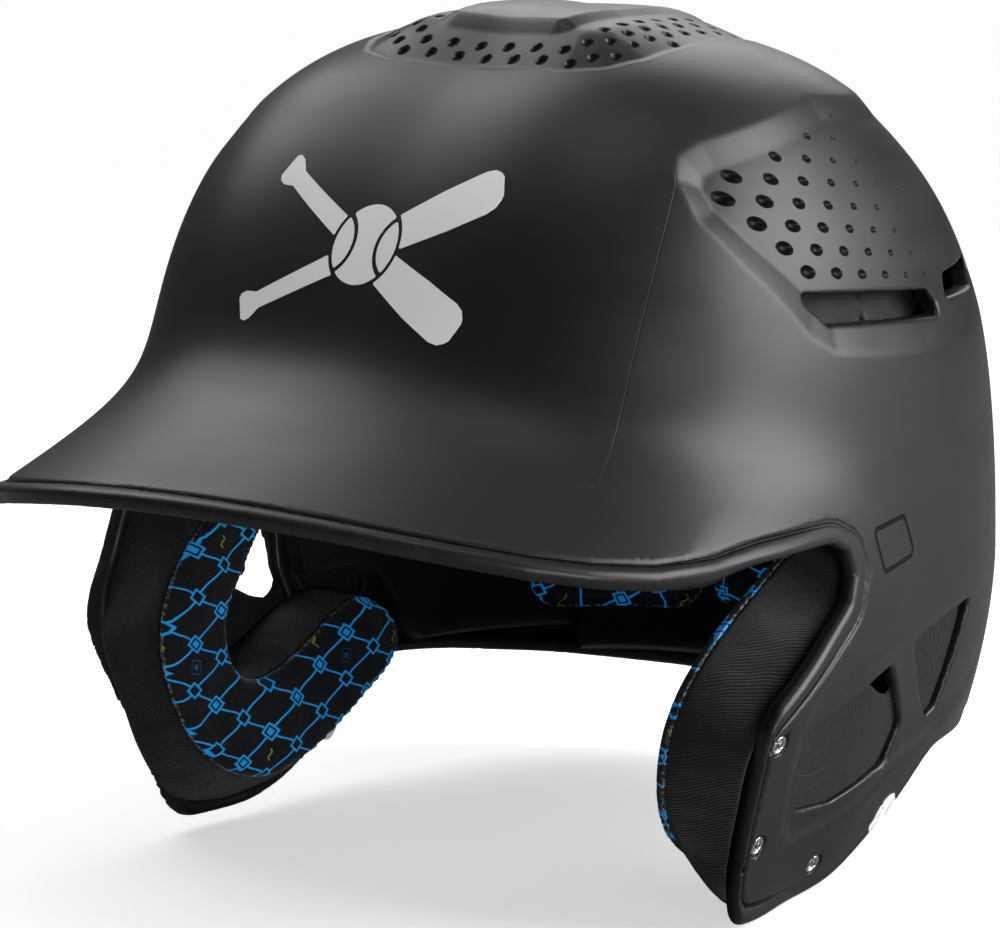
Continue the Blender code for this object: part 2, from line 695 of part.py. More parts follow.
def bat(flip):
    """Outline of a slanting bat in front view (x, z), mirrored when flip is -1."""
    edge = [((share - 0.5) * BAT_LENGTH, half) for share, half in BAT_STATIONS]
    loop = edge + [(along, -half) for along, half in reversed(edge)]
    cosine, sine = math.cos(BAT_ANGLE), math.sin(BAT_ANGLE)
    return [(flip * (along * cosine - across * sine), along * sine + across * cosine + BAT_Z)
            for along, across in loop]


def circle(centre, centre_z, circle_r, count=28):
    return [(centre + circle_r * math.cos(2 * math.pi * i / count),
             centre_z + circle_r * math.sin(2 * math.pi * i / count)) for i in range(count)]


def decal(name, degrees, heights, outlines, axis, cut_range):
    """Thin strip of the surface, kept only inside the given outlines."""
    start, end = degrees
    low, high = heights
    cut_low, cut_high = cut_range
    rows = []
    for i in range(DECAL_ROWS + 1):
        z = high + (low - high) * i / DECAL_ROWS
        rows.append([surface(math.radians(start + (end - start) * j / DECAL_COLUMNS), z,
                             -(DECAL_T + DECAL_LIFT)) for j in range(DECAL_COLUMNS + 1)])
    obj = part(name, grid_mesh(name, rows), DECAL_GREY)
    solidify(obj, DECAL_T)
    keep = prism(f"cut_{name}", outlines[0], cut_low, cut_high, axis)
    for k, outline in enumerate(outlines[1:]):
        # each prism is longer than the last, so that no end faces coincide
        extra = prism(f"cut_{name}_{k}", outline, cut_low - 1 - k, cut_high + 1 + k, axis)
        boolean(keep, extra, "UNION")
    boolean(obj, keep, "INTERSECT")


def build_decals():
    decal("front_emblem", degrees=(-32, 32), heights=(148, 202),
          outlines=[bat(1), bat(-1), circle(0, 173, 10)], axis="Y", cut_range=(-170, -40))
    for side, sign in SIDES:
        decal(f"flap_emblem_{side}", degrees=sorted((sign * 88, sign * 112)),
              heights=(-3, 18), outlines=[circle(15.5, 7.5, 6.5)], axis="X",
              cut_range=sorted((sign * 60, sign * 150)))


outer_shell = build_shell()
build_inserts(outer_shell)
shade(outer_shell, 30)
build_liner()
build_pads()
build_ear_cups()
build_decals()
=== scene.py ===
"""Batting helmet: shell, inserts, films, liner and pads, with floor, lights and camera.

The helmet stands on the floor with its brim towards -Y and its left side at +X. Shapes are
worked out in millimetres in a dome frame whose Z axis is the dome's axis; make() turns them
into metres. Angles around the dome run from the front (-Y).
"""
import math
from types import SimpleNamespace

import bpy
import numpy as np
from mathutils import Matrix, Vector


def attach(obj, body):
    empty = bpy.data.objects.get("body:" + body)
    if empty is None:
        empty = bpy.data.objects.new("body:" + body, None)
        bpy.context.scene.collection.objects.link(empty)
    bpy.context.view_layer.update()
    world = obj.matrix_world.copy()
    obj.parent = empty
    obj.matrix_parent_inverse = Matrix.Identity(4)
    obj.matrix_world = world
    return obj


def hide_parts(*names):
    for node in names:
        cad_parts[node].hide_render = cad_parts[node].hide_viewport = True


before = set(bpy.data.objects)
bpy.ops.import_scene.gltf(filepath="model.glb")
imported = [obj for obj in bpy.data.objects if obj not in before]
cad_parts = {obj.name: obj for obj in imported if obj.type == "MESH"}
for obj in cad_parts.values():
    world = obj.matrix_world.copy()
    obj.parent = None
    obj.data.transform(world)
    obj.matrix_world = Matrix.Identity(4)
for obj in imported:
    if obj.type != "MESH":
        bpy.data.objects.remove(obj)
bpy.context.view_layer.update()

MM = 0.001
TURN = 2 * math.pi
DOME_Y, DOME_Z0 = 20.4, 10.0          # dome frame's origin in the helmet's frame, mm
SIDES = (("left", 1), ("right", -1))  # name and sign of x

# ================================================================ shell sizes (mm)
DOME_BASE, DOME_HEIGHT = 83.0, 142.0
HALF_WIDTH, FRONT_LENGTH, BACK_LENGTH = 110.0, 116.4, 131.5
PLAN_POWER = 2.42                                     # superellipse seen from above
SIDE_POWER, FRONT_POWER, BACK_POWER = 3.16, 2.105, 1.9  # superellipses seen upright
WALL = 3.9

# Stations around the dome: angle from the front in degrees, then the values there.
STATION_ANGLES = [0, 13, 26, 37, 43, 50, 57.6, 70.5, 90, 120, 180]
STATIONS = {
    "flare": [58, 56.3, 52.4, 45.1, 39, 30.5, 22.3, 11, 4, 1.5, 1],
    "flare_end": [115.3, 113.3, 107.6, 101.7, 99.1, 97.6, 96, 92, 85, 80, 80],
    "flare_top": [137, 136, 133.5, 130, 128, 126, 124, 121, 116, 112, 112],
    "taper_top": [50, 50, 50, 50, 50, 50, 50, 56, 66, 72, 74],
    "taper": [21, 21, 21, 21, 21, 21, 21, 20, 18, 17, 20],
}
# Inward taper of the front of the flaps: height, amount.
FLAP_TAPER_Z = [-12, 0, 17.4, 30, 40, 50, 60, 70]
FLAP_TAPER = [25, 23, 17.5, 12.2, 7.3, 3.0, 0.7, 0]

# Brim rim: angle from the front, horizontal radius, height.
RIM_ANGLES = [0, 6.7, 13.3, 19.7, 25.8, 31.6, 37.3, 43.2, 49.8, 57.6, 70]
RIM_RADII = [172.2, 172.3, 172.4, 172.3, 171.4, 169.4, 165.5, 159.2, 149.4, 137.3, 121.5]
RIM_HEIGHTS = [115.3, 114.8, 113.2, 110.7, 107.7, 104.6, 101.6, 99.1, 97.6, 96.8, 96.3]

# Side outlines are (y, z) points. The open edge runs from the brim to the back.
EDGE_START = [(-172.2, 115.3), (-168, 113.3), (-154, 107.7), (-131.6, 101.6), (-116, 99.1),
              (-96.4, 97.6), (-73.6, 96.8)]
EDGE_END = [(38, 21.5), (48, 22.5), (66, 21), (80, 19), (94, 17.2), (107, 15), (118, 13.4)]
EDGE_LEFT = EDGE_START + [
    (-48, 96.2), (-38, 95.2), (-31.5, 92), (-29.5, 86), (-32.5, 79), (-43.4, 72.5),
    (-64, 60.4), (-74.5, 53.2), (-77.6, 47.6), (-76.2, 41), (-72.4, 30), (-69, 17),
    (-66.6, 4), (-63.5, -3.6), (-57, -7.6), (-45, -9.2), (-30, -10), (-12, -9.6), (0, -7),
    (8, -2.5), (16, 3.5), (24, 9.5), (31, 16.5)] + EDGE_END
EDGE_RIGHT = EDGE_START + [
    (-60, 96.2), (-55.5, 91), (-58, 84), (-61.3, 76.4), (-65, 68), (-71.5, 58.5),
    (-76.3, 52), (-77.6, 46), (-77.6, 38), (-77.5, 30.7), (-76.5, 18), (-72, 7),
    (-66.9, -1.2), (-60, -5.6), (-48, -6.8), (-32.8, -6.4), (-22, -4.6), (-10, -2), (4, 3),
    (16, 8), (24, 12), (31, 17)] + EDGE_END
WINDOW_FRONT = [(-4.1, 56.1), (10.3, 36.3), (5.5, 25.3), (-21.2, 20), (-38.4, 21.2),
                (-44.6, 29.5), (-49.6, 45.2)]
WINDOW_FRONT_RIGHT = [(-6, 75), (4.6, 75), (4.6, 55.1)] + WINDOW_FRONT[1:] + [(-8, 55.3)]
WINDOW_REAR = [(48.3, 65.7), (10, 59.3), (19.6, 43.4), (28.3, 33.9), (34, 35.8)]
SLOT_FRONT = [(-32.2, 160.6), (-31.4, 158.2), (-24.3, 151.6), (34, 146.5), (36.5, 149),
              (31.2, 154)]
SLOT_REAR = [(45, 156.5), (44, 150), (72, 149), (78, 153), (76, 157.5)]
PANEL = [(70, 74), (55, 69.6), (33, 68.2), (13, 65.9), (-5, 64), (-17, 62.2), (-34, 60.6),
         (-52, 56.8), (-57.5, 47), (-54, 34), (-46.5, 16), (-40, 10), (-22, 11), (-4, 15),
         (14, 24), (34, 26), (60, 34), (86, 60)]
RECESS = [(6, 208.6), (-44, 201), (-51.5, 198), (-56, 192.4), (-57.3, 182), (-51, 170.4),
          (-41, 158), (-34.5, 150), (-25, 144.6), (-4, 141.6), (22, 139.3), (56, 139.5),
          (90, 143), (104, 158), (92, 186), (60, 204)]
BADGE = [(-18.6, 96.4), (-13.9, 83.4), (6.0, 85.2), (0.8, 97.4)]
INSERTS = {"upper": (-65.3, 46.2), "front": (-56.8, 15.2), "lower": (-19.2, 0.7)}

# Crown outlines are (x, y) points.
CROWN_HALF = [(-30, -44.5), (-41, -39), (-47, -27), (-48, -8), (-46, 15), (-42, 40), (-30, 60)]
CROWN = [(0, -45)] + CROWN_HALF + [(0, 68)] + [(-x, y) for x, y in reversed(CROWN_HALF)]
RIDGE = [(-22, -30.5), (22, -30.5), (24, -5), (24, 56), (15, 84), (-15, 84), (-24, 56),
         (-24, -5)]


# ================================================================ curves and distances
def smooth(start, end, x):
    """Smooth ramp from 0 at start to 1 at end."""
    t = np.clip((x - start) / (end - start), 0, 1)
    return t * t * (3 - 2 * t)


def hermite(xs, ys, x):
    """Smooth curve through stations, level at both ends."""
    xs, ys = np.asarray(xs, float), np.asarray(ys, float)
    slope = np.gradient(ys, xs)
    slope[0] = slope[-1] = 0
    x = np.clip(x, xs[0], xs[-1])
    i = np.clip(np.searchsorted(xs, x) - 1, 0, len(xs) - 2)
    h = xs[i + 1] - xs[i]
    t = (x - xs[i]) / h
    return ((2 * t**3 - 3 * t**2 + 1) * ys[i] + (t**3 - 2 * t**2 + t) * h * slope[i]
            + (-2 * t**3 + 3 * t**2) * ys[i + 1] + (t**3 - t**2) * h * slope[i + 1])


def soft_min(a, b, width):
    h = np.clip(0.5 + 0.5 * (b - a) / width, 0, 1)
    return b * (1 - h) + a * h - width * h * (1 - h)


def soft_max(a, b, width):
    return -soft_min(-a, -b, width)


def ramp(t, width=0.16):
    """0 to 1 with rounded corners."""
    return soft_max(soft_min(t, np.ones_like(t), width), np.zeros_like(t), width)


def rounding(distance, radius):
    """Share of a fillet's radius cut away at a distance from the edge."""
    q = np.clip(1 - distance / radius, 0, 1)
    return 1 - np.sqrt(np.maximum(1 - q * q, 0))


def polygon_distance(a, b, polygon, corner=0.0):
    """Signed distance to a polygon, negative inside; corner is the radius of its corners."""
    polygon = [np.array(q, float) for q in polygon]
    n = len(polygon)
    if corner:
        area = sum(polygon[i][0] * polygon[(i + 1) % n][1]
                   - polygon[(i + 1) % n][0] * polygon[i][1] for i in range(n))
        turn = 1 if area > 0 else -1
        shrunk = []
        for i in range(n):
            p0, p1, p2 = polygon[i - 1], polygon[i], polygon[(i + 1) % n]
            d1 = (p1 - p0) / np.linalg.norm(p1 - p0)
            d2 = (p2 - p1) / np.linalg.norm(p2 - p1)
            n1, n2 = turn * np.array([-d1[1], d1[0]]), turn * np.array([-d2[1], d2[0]])
            shrunk.append(p1 + (n1 + n2) / (1 + n1 @ n2) * corner)
        polygon = shrunk
    best = np.full(a.shape, 1e9)
    inside = np.zeros(a.shape, bool)
    for i in range(n):
        ax, ay = polygon[i]
        bx, by = polygon[(i + 1) % n]
        ex, ey = bx - ax, by - ay
        t = np.clip(((a - ax) * ex + (b - ay) * ey) / (ex * ex + ey * ey), 0, 1)
        best = np.minimum(best, (a - ax - t * ex)**2 + (b - ay - t * ey)**2)
        crossed = (ay > b) != (by > b)
        inside ^= crossed & (a < (bx - ax) * (b - ay) / (by - ay + 1e-12) + ax)
    best = np.sqrt(best)
    return np.where(inside, -best, best) - corner


def catmull_rom(p0, p1, p2, p3, t):
    return 0.5 * (2 * p1 + (p2 - p0) * t + (2 * p0 - 5 * p1 + 4 * p2 - p3) * t * t
                  + (3 * p1 - p0 - 3 * p2 + p3) * t**3)


def open_curve(points, step=4.0):
    """Catmull-Rom resampling of an open line."""
    points = [np.array(q, float) for q in points]
    last = len(points) - 1
    curve = []
    for i in range(last):
        p0, p1, p2, p3 = (points[min(max(i + d, 0), last)] for d in (-1, 0, 1, 2))
        count = max(1, int(np.linalg.norm(p2 - p1) / step))
        curve += [catmull_rom(p0, p1, p2, p3, j / count) for j in range(count)]
    return curve + [points[-1]]


def even_loops(count, *outlines):
    """Closed curves sampled point for point, evenly along the first; also its length."""
    curves = []
    for points in outlines:
        points, n = np.array(points, float), len(points)
        curve = [catmull_rom(*(points[(i + d) % n] for d in (-1, 0, 1, 2)), j / 24)
                 for i in range(n) for j in range(24)]
        curves.append(np.array(curve + [curve[0]]))
    steps = np.linalg.norm(np.diff(curves[0], axis=0), axis=1)
    run = np.concatenate([[0], np.cumsum(steps)])
    at = np.linspace(0, run[-1], count, endpoint=False)
    loops = [np.stack([np.interp(at, run, c[:, 0]), np.interp(at, run, c[:, 1])], 1)
             for c in curves]
    return loops, run[-1]


GRID_STEP = 0.5
GRID_Y, GRID_Z = np.arange(-200, 160.01, GRID_STEP), np.arange(-30, 240.01, GRID_STEP)


def side_shape(outline, corner=0.0):
    """Signed distance of (y, z) to an outline, tabulated so that lookups stay cheap."""
    a, b = np.meshgrid(GRID_Y, GRID_Z, indexing="ij")
    table = polygon_distance(a.ravel(), b.ravel(), outline, corner).reshape(a.shape)

    def distance(y, z):
        i = np.clip((y - GRID_Y[0]) / GRID_STEP, 0, len(GRID_Y) - 1.001)
        j = np.clip((z - GRID_Z[0]) / GRID_STEP, 0, len(GRID_Z) - 1.001)
        i0, j0 = i.astype(int), j.astype(int)
        fi, fj = i - i0, j - j0
        return ((table[i0, j0] * (1 - fj) + table[i0, j0 + 1] * fj) * (1 - fi)
                + (table[i0 + 1, j0] * (1 - fj) + table[i0 + 1, j0 + 1] * fj) * fi)
    return distance


def edge_shape(line):
    """Side shape of everything above an edge line."""
    return side_shape([(-260, 116.5)] + open_curve(line) + [(300, 13), (300, -80), (-260, -80)])


below_edge_left, below_edge_right = edge_shape(EDGE_LEFT), edge_shape(EDGE_RIGHT)
window_front, window_rear = side_shape(WINDOW_FRONT, 3.0), side_shape(WINDOW_REAR, 2.2)
window_front_right = side_shape(WINDOW_FRONT_RIGHT, 2.2)
slot_front, slot_rear = side_shape(SLOT_FRONT, 1.4), side_shape(SLOT_REAR, 1.6)
panel_shape, recess_shape = side_shape(PANEL, 6.0), side_shape(RECESS, 6.0)
badge_shape = side_shape(BADGE, 2.0)


def forward_gradient(points, fn, step):
    """Values and one-sided gradients."""
    value = fn(points)
    slopes = [(fn(points + o) - value) / step for o in step * np.eye(points.shape[1])]
    return value, np.stack(slopes, 1)


def unit(vectors):
    return vectors / np.maximum(np.linalg.norm(vectors, axis=1), 1e-9)[:, None]


def normals_of(points, fn, step):
    """Unit normals of a distance function, by central differences."""
    slopes = [(fn(points + o) - fn(points - o)) / (2 * step) for o in step * np.eye(3)]
    return unit(np.stack(slopes, 1))


def project(points, fn, steps=4, limit=0.9):
    """Moves points onto the surface where fn is zero."""
    for _ in range(steps):
        value, slope = forward_gradient(points, fn, 0.06)
        square = np.maximum((slope * slope).sum(1), 0.25)
        move = -(value / square)[:, None] * slope
        length = np.linalg.norm(move, axis=1)
        move *= np.minimum(1, limit / np.maximum(length, 1e-9))[:, None]
        points = points + move
    return points


# ================================================================ outer surface
FINE_ANGLES = np.linspace(0, 180, 1441)
PROFILES = {key: hermite(STATION_ANGLES, values, FINE_ANGLES) for key, values in STATIONS.items()}
FINE_TAPER_Z = np.arange(-12, 70.5, 0.5)
FINE_TAPER = hermite(FLAP_TAPER_Z, FLAP_TAPER, FINE_TAPER_Z)


def degrees_from_front(x, y):
    return np.degrees(np.arctan2(np.abs(x), -y))


def upright_power(cosine):
    """Power of the upright superellipse from the cosine of the angle from the front."""
    return SIDE_POWER + np.where(cosine > 0, (FRONT_POWER - SIDE_POWER) * cosine**2,
                                 (BACK_POWER - SIDE_POWER) * cosine**2)


def plan_radius(angle):
    """Radius of the dome's base."""
    sine, cosine = np.abs(np.sin(angle)), np.cos(angle)
    length = np.where(cosine > 0, FRONT_LENGTH, BACK_LENGTH)
    return ((sine / HALF_WIDTH)**PLAN_POWER
            + (np.abs(cosine) / length)**PLAN_POWER)**(-1 / PLAN_POWER)


def radius(angle, z, brim=True):
    """Horizontal radius of the outer surface, optionally without the brim."""
    deg = np.degrees(np.abs(angle))
    at = {key: np.interp(deg, FINE_ANGLES, values) for key, values in PROFILES.items()}
    base = plan_radius(angle)
    power = upright_power(np.cos(angle))
    u = np.clip((z - DOME_BASE) / DOME_HEIGHT, 0, 1)
    shrink = np.maximum(1 - u**power, 0)**(1 / power)
    top, end = at["flare_top"], at["flare_end"]
    depth = 6.0 * np.logaddexp(0, (top - z) / 6.0) / (top - end)
    depth = soft_min(depth, 1.02 + 0.5 * (1 - smooth(42, 53, deg)), 0.5)
    flare = at["flare"] * depth
    if not brim:
        flare = flare * smooth(52, 70, deg)
    start = at["taper_top"]
    back_taper = at["taper"] * np.clip((start - z) / start, 0, 1.2)**1.8
    front_taper = np.interp(z, FINE_TAPER_Z, FINE_TAPER)
    mix = smooth(58, 88, deg)
    return base * shrink + flare - front_taper * (1 - mix) - back_taper * mix


def dome_level(points):
    """Superellipsoid function of the crown, zero on its surface."""
    x, y, z = points.T
    length = np.where(y < 0, FRONT_LENGTH, BACK_LENGTH)
    plan = ((np.abs(x) / HALF_WIDTH)**PLAN_POWER
            + (np.abs(y) / length)**PLAN_POWER)**(1 / PLAN_POWER)
    power = upright_power(-y / (np.hypot(x, y) + 1e-6))
    u = np.maximum((z - DOME_BASE) / DOME_HEIGHT, 1e-6)
    return (plan**power + u**power)**(1 / power) - 1


def outer_distance(points):
    """Near-surface signed distance to the smooth outer surface."""
    x, y, z = points.T
    angle = np.arctan2(np.abs(x), -y)
    reach = np.hypot(x, y) + 1e-6
    r = radius(angle, z)
    slope_z = (radius(angle, z + 0.2) - r) / 0.2
    slope_angle = (radius(angle + 0.002, z) - r) / 0.002
    distance = (reach - r) / np.sqrt(
        1 + slope_z**2 + (slope_angle / np.maximum(reach, 0.8 * r + 1.0))**2)
    share = smooth(168, 188, z)
    high = np.where(share > 0)[0]
    if len(high):
        level, slope = forward_gradient(points[high], dome_level, 0.2)
        gx, gy, gz = slope.T
        top = level / np.sqrt(gx**2 + gy**2 + gz**2)
        distance[high] = distance[high] * (1 - share[high]) + top * share[high]
    return distance


def side_x(y, z):
    """x of the outer surface on the left, at a side-view point."""
    y, z = np.asarray(y, float), np.asarray(z, float)
    x = np.full(np.broadcast(y, z).shape, HALF_WIDTH)
    for _ in range(40):
        x = np.sqrt(np.maximum(radius(np.arctan2(x, -y), z)**2 - y * y, 1.0))
    return x


def insert_axis(y, z):
    """Centre and outward direction of a threaded insert on the left."""
    centre = np.array([side_x([y], [z])[0], y, z])
    return centre, normals_of(centre[None], outer_distance, 0.5)[0]


INSERT_AXES = {label: insert_axis(y, z) for label, (y, z) in INSERTS.items()}


def insert_distance(x, y, z):
    """Radial distance to the nearest insert axis, the same on both sides."""
    points = np.stack([np.abs(x), y, z], 1)
    best = np.full(len(points), 99.0)
    for centre, axis in INSERT_AXES.values():
        d = points - centre
        along = d @ axis
        radial = np.sqrt(np.maximum((d * d).sum(1) - along * along, 0))
        best = np.minimum(best, np.where(np.abs(along) < 12, radial, 99))
    return best


def trim_distance(points):
    """Distance past the open edge: positive where the shell is cut away."""
    x, y, z = points.T
    deg = degrees_from_front(x, y)
    side = -np.where(x >= 0, below_edge_left(y, z), below_edge_right(y, z))
    tilt = np.radians(np.interp(deg, [0, 30, 45, 58, 70], [29, 31, 38, 62, 85]))
    rim_radius = np.interp(deg, RIM_ANGLES, RIM_RADII)
    rim_z = np.interp(deg, RIM_ANGLES, RIM_HEIGHTS)
    brim = (np.hypot(x, y) - rim_radius) * np.cos(tilt) - (z - rim_z) * np.sin(tilt)
    share = smooth(46, 60, deg)
    return brim * (1 - share) + side * share


# ================================================================ dimples
# The same lattice code serves arrays and shader nodes; "maths" supplies what differs.
ARRAYS = SimpleNamespace(floor=np.floor, nearest=np.round, limit=np.clip,
                         step=lambda x, start, end: smooth(start, end, x))
LEAN_ORIGIN = 33.0        # rows lean about across = -33
DIMPLE_FIT = 0.92         # drawn radius as a share of the nominal one


def side_dimple_radius(maths, across, along):
    nominal = 1.75 - across * 0.040 - (along - 181.0) * 0.022
    return maths.limit(nominal, 0.5, 3.4) * DIMPLE_FIT


def crown_dimple_radius(maths, across, along):
    return (1.95 - maths.step(along, -10.0, 45.0) * 0.6) * DIMPLE_FIT


# (across, along) is (y, z) on the sides and (x, y) on the crown.
SIDE_DIMPLES = SimpleNamespace(
    first_row=184.83, row_pitch=6.027, start=-32.96, pitch=11.62, row_shift=5.584,
    lean=0.1369, squash=1.55, tilt=0.12, depth=0.50, radius=side_dimple_radius)
CROWN_DIMPLES = SimpleNamespace(
    first_row=-39.6, row_pitch=4.2, start=2.0, pitch=9.3, row_shift=-4.65,
    lean=0.0, squash=1.0, tilt=0.0, depth=0.78, radius=crown_dimple_radius)


def lattice_places(maths, p, across, along):
    """Nearest place in the two closest rows: row, its centre, and the offset from it."""
    first = maths.floor((along - p.first_row + (across + LEAN_ORIGIN) * p.lean) / p.row_pitch)
    for step in (0.0, 1.0):
        row = first + step
        shift = row * p.row_shift + p.start
        ca = shift + maths.nearest((across - shift) / p.pitch) * p.pitch
        cb = row * p.row_pitch + p.first_row - (ca + LEAN_ORIGIN) * p.lean
        da = across - ca
        db = (along - cb + da * p.tilt) * p.squash
        yield row, ca, cb, da, db


def nearest_holds(pattern, across, along, holds):
    """1 where the nearest place satisfies holds(row, across, along)."""
    best, keep = np.full(len(across), 1e9), np.zeros(len(across), bool)
    for row, ca, cb, _, _ in lattice_places(ARRAYS, pattern, across, along):
        distance = np.hypot(across - ca, along - cb)
        keep = np.where(distance < best, holds(row, ca, cb), keep)
        best = np.minimum(best, distance)
    return keep.astype(float)


def dimple_masks(points):
    """1 where the nearest place of the side or crown lattice holds a dimple."""
    x, y, z = points.T

    def on_side(row, cy, cz):
        rim = recess_shape(cy, cz)
        held = (row >= -3.1) & (row <= 4.1) & (np.abs(x) > 50) & (cy < 54) & (rim < -5.0)
        held &= (row < 1.5) | (cy > -27)
        held &= (row > -0.5) | (cy > -42 + 5.5 * (-1 - row))
        held &= (cz > 183) | (rim < -10.5)
        return held & (cz > np.interp(cy, [-30, 30, 60], [163.0, 156.5, 160.0]))

    def on_crown(row, cx, cy):
        held = (z > 175) & (polygon_distance(cx, cy, CROWN, 8.0) < -3.9) & (cy < 44)
        return held & ((np.abs(cx) > 25.8) | (cy < -32.6))
    return (nearest_holds(SIDE_DIMPLES, y, z, on_side),
            nearest_holds(CROWN_DIMPLES, x, y, on_crown))


def dimple_depth(pattern, across, along):
    deepest = np.zeros(len(across))
    for _, ca, cb, da, db in lattice_places(ARRAYS, pattern, across, along):
        r = pattern.radius(ARRAYS, ca, cb)
        deepest = np.maximum(deepest, np.clip(1 - (da * da + db * db) / r**2, 0, 1) * r)
    return deepest


# ================================================================ shell
def crown_relief(x, y, z):
    """Dip and rise of the crown, and the distances to its two outlines."""
    high = smooth(165, 200, z)
    plan, ridge = polygon_distance(x, y, CROWN, 10.0), polygon_distance(x, y, RIDGE, 6.0)
    fade = 1 - smooth(34, 84, y)
    dip = 0.9 * ramp(-plan / 2.4) * high * fade
    rise = (4.8 * ramp((-plan - 1.0) / 16.0) * (1 - 0.25 * smooth(-30, 10, y))
            + 2.2 * ramp(-ridge / 4.0))
    return dip, rise * high * fade, plan, ridge


def recess_bevel(y, z):
    """0 at the side recess's edge, 1 where its bevel meets the floor."""
    return -recess_shape(y, z) / (8.0 + 0.09 * np.clip(184 - z, -22, 30))


def large_relief(points):
    """Inward relief that the inside of the shell follows as well."""
    x, y, z = points.T
    dip, rise = crown_relief(x, y, z)[:2]
    side = smooth(40, 60, np.abs(x))
    recess = (3.3 * ramp(recess_bevel(y, z), 0.13) * side * (1 - smooth(30, 92, y))
              * (1 - 0.55 * smooth(185, 212, z)))
    return recess + dip - rise


def shell_distance(points, fine=True, extra=0.0):
    """Signed distance to the shell; extra thickens the wall, fine adds the small relief."""
    x, y, z = points.T
    outer = outer_distance(points)
    edge = trim_distance(points)
    deg = degrees_from_front(x, y)
    relief = large_relief(points)
    side = smooth(60, 75, np.abs(x))
    front = np.where(x >= 0, window_front(y, z), window_front_right(y, z))
    windows = np.minimum(front, window_rear(y, z))
    slots = np.minimum(slot_front(y, z), slot_rear(y, z))
    hole = np.where(np.abs(x) > 60, np.minimum(windows, slots), 50.0)
    insert = insert_distance(x, y, z)
    # the wall is thicker along the edge and round the openings
    wall = (WALL + 1.5 * smooth(-7, -3, edge) + 2.4 * side * smooth(5.0, 2.6, windows)
            + 0.9 * smooth(6.5, 5.0, insert))
    wall = wall + 2.0 * side * smooth(3.2, 1.6, slots)
    outside = outer + relief
    inside = outside + wall + extra
    if fine:
        brim = 1 - smooth(60, 78, deg)
        groove = (0.85 * np.exp(-((edge + 5.6) / 0.85)**2)
                  - 0.35 * np.exp(-((edge + 2.6) / 1.5)**2))
        band = 0.6 * smooth(-7.6, -5.8, edge)
        back = smooth(100, 118, deg)
        outside = outside + brim * groove + (1 - brim) * (1 - back * 0.5) * band
        panel = smooth(0.0, -6.5, panel_shape(y, z))
        outside = outside + 1.9 * panel * side * (1 - smooth(24, 78, y))
    solid = soft_max(outside, -inside, 0.4)
    solid = soft_max(solid, edge, 2.6)
    solid = soft_max(solid, -hole, 1.3)
    return soft_max(solid, 3.15 - insert, 0.5)


def wanted_length(points):
    """Wanted edge length of the shell mesh."""
    x, y, z = points.T
    length = np.full(len(points), 3.0)

    def finer(where, value):
        length[where] = np.minimum(length[where], value)
    outer = outer_distance(points) + large_relief(points)
    edge = trim_distance(points)
    deg = degrees_from_front(x, y)
    face = outer > -2.2
    side = np.abs(x) > 60
    near = face & (np.abs(x) > 48)
    finer(np.abs(edge) < 7.5, 1.9)
    finer((edge > -8.0) & (edge < 1), 1.5)
    finer((edge > -3.2) & (edge < 1) & (deg > 50) & (deg < 125), 1.15)
    finer(face & (np.abs(edge + 5.6) < 1.7) & (deg < 74), 0.95)
    for shape in (window_front, window_rear, slot_front, slot_rear, window_front_right):
        hole = shape(y, z)
        length[side & (hole > -2.4) & (hole < 5.0)] = 1.5
    recess, panel = recess_shape(y, z), panel_shape(y, z)
    finer(near & (recess < 2) & (recess > -13) & (y < 60), 1.7)
    bevel = recess_bevel(y, z)
    crease = np.minimum(np.abs(bevel), np.abs(bevel - 1)) < 0.2
    finer(near & crease & (y < 55), 0.98)
    finer(near & (recess < -4) & (y < 55), 1.9)
    finer(side & face & (panel < 2) & (panel > -8) & (y < 60), 1.9)
    for shape in (slot_front, slot_rear):
        hole = shape(y, z)
        length[side & (outer > -6) & (hole > -2.4) & (hole < 1.8)] = 1.0
    _, _, plan, ridge = crown_relief(x, y, z)
    top = face & (z > 190) & (y < 70)
    finer(top & (plan < 1.5), 1.9)
    finer(top & (plan < 0.9) & (plan > -3.6), 0.9)
    length[top & (ridge < 1.3) & (ridge > -5.4)] = 1.0
    length[side & face & (np.abs(badge_shape(y, z) + 0.4) < 1.6)] = 1.0
    side_mask, crown_mask = dimple_masks(points)
    finer(near & (side_mask > 0.5), 1.25)
    finer(top & (crown_mask > 0.5), 1.15)
    finer(insert_distance(x, y, z) < 4.4, 0.9)
    return length


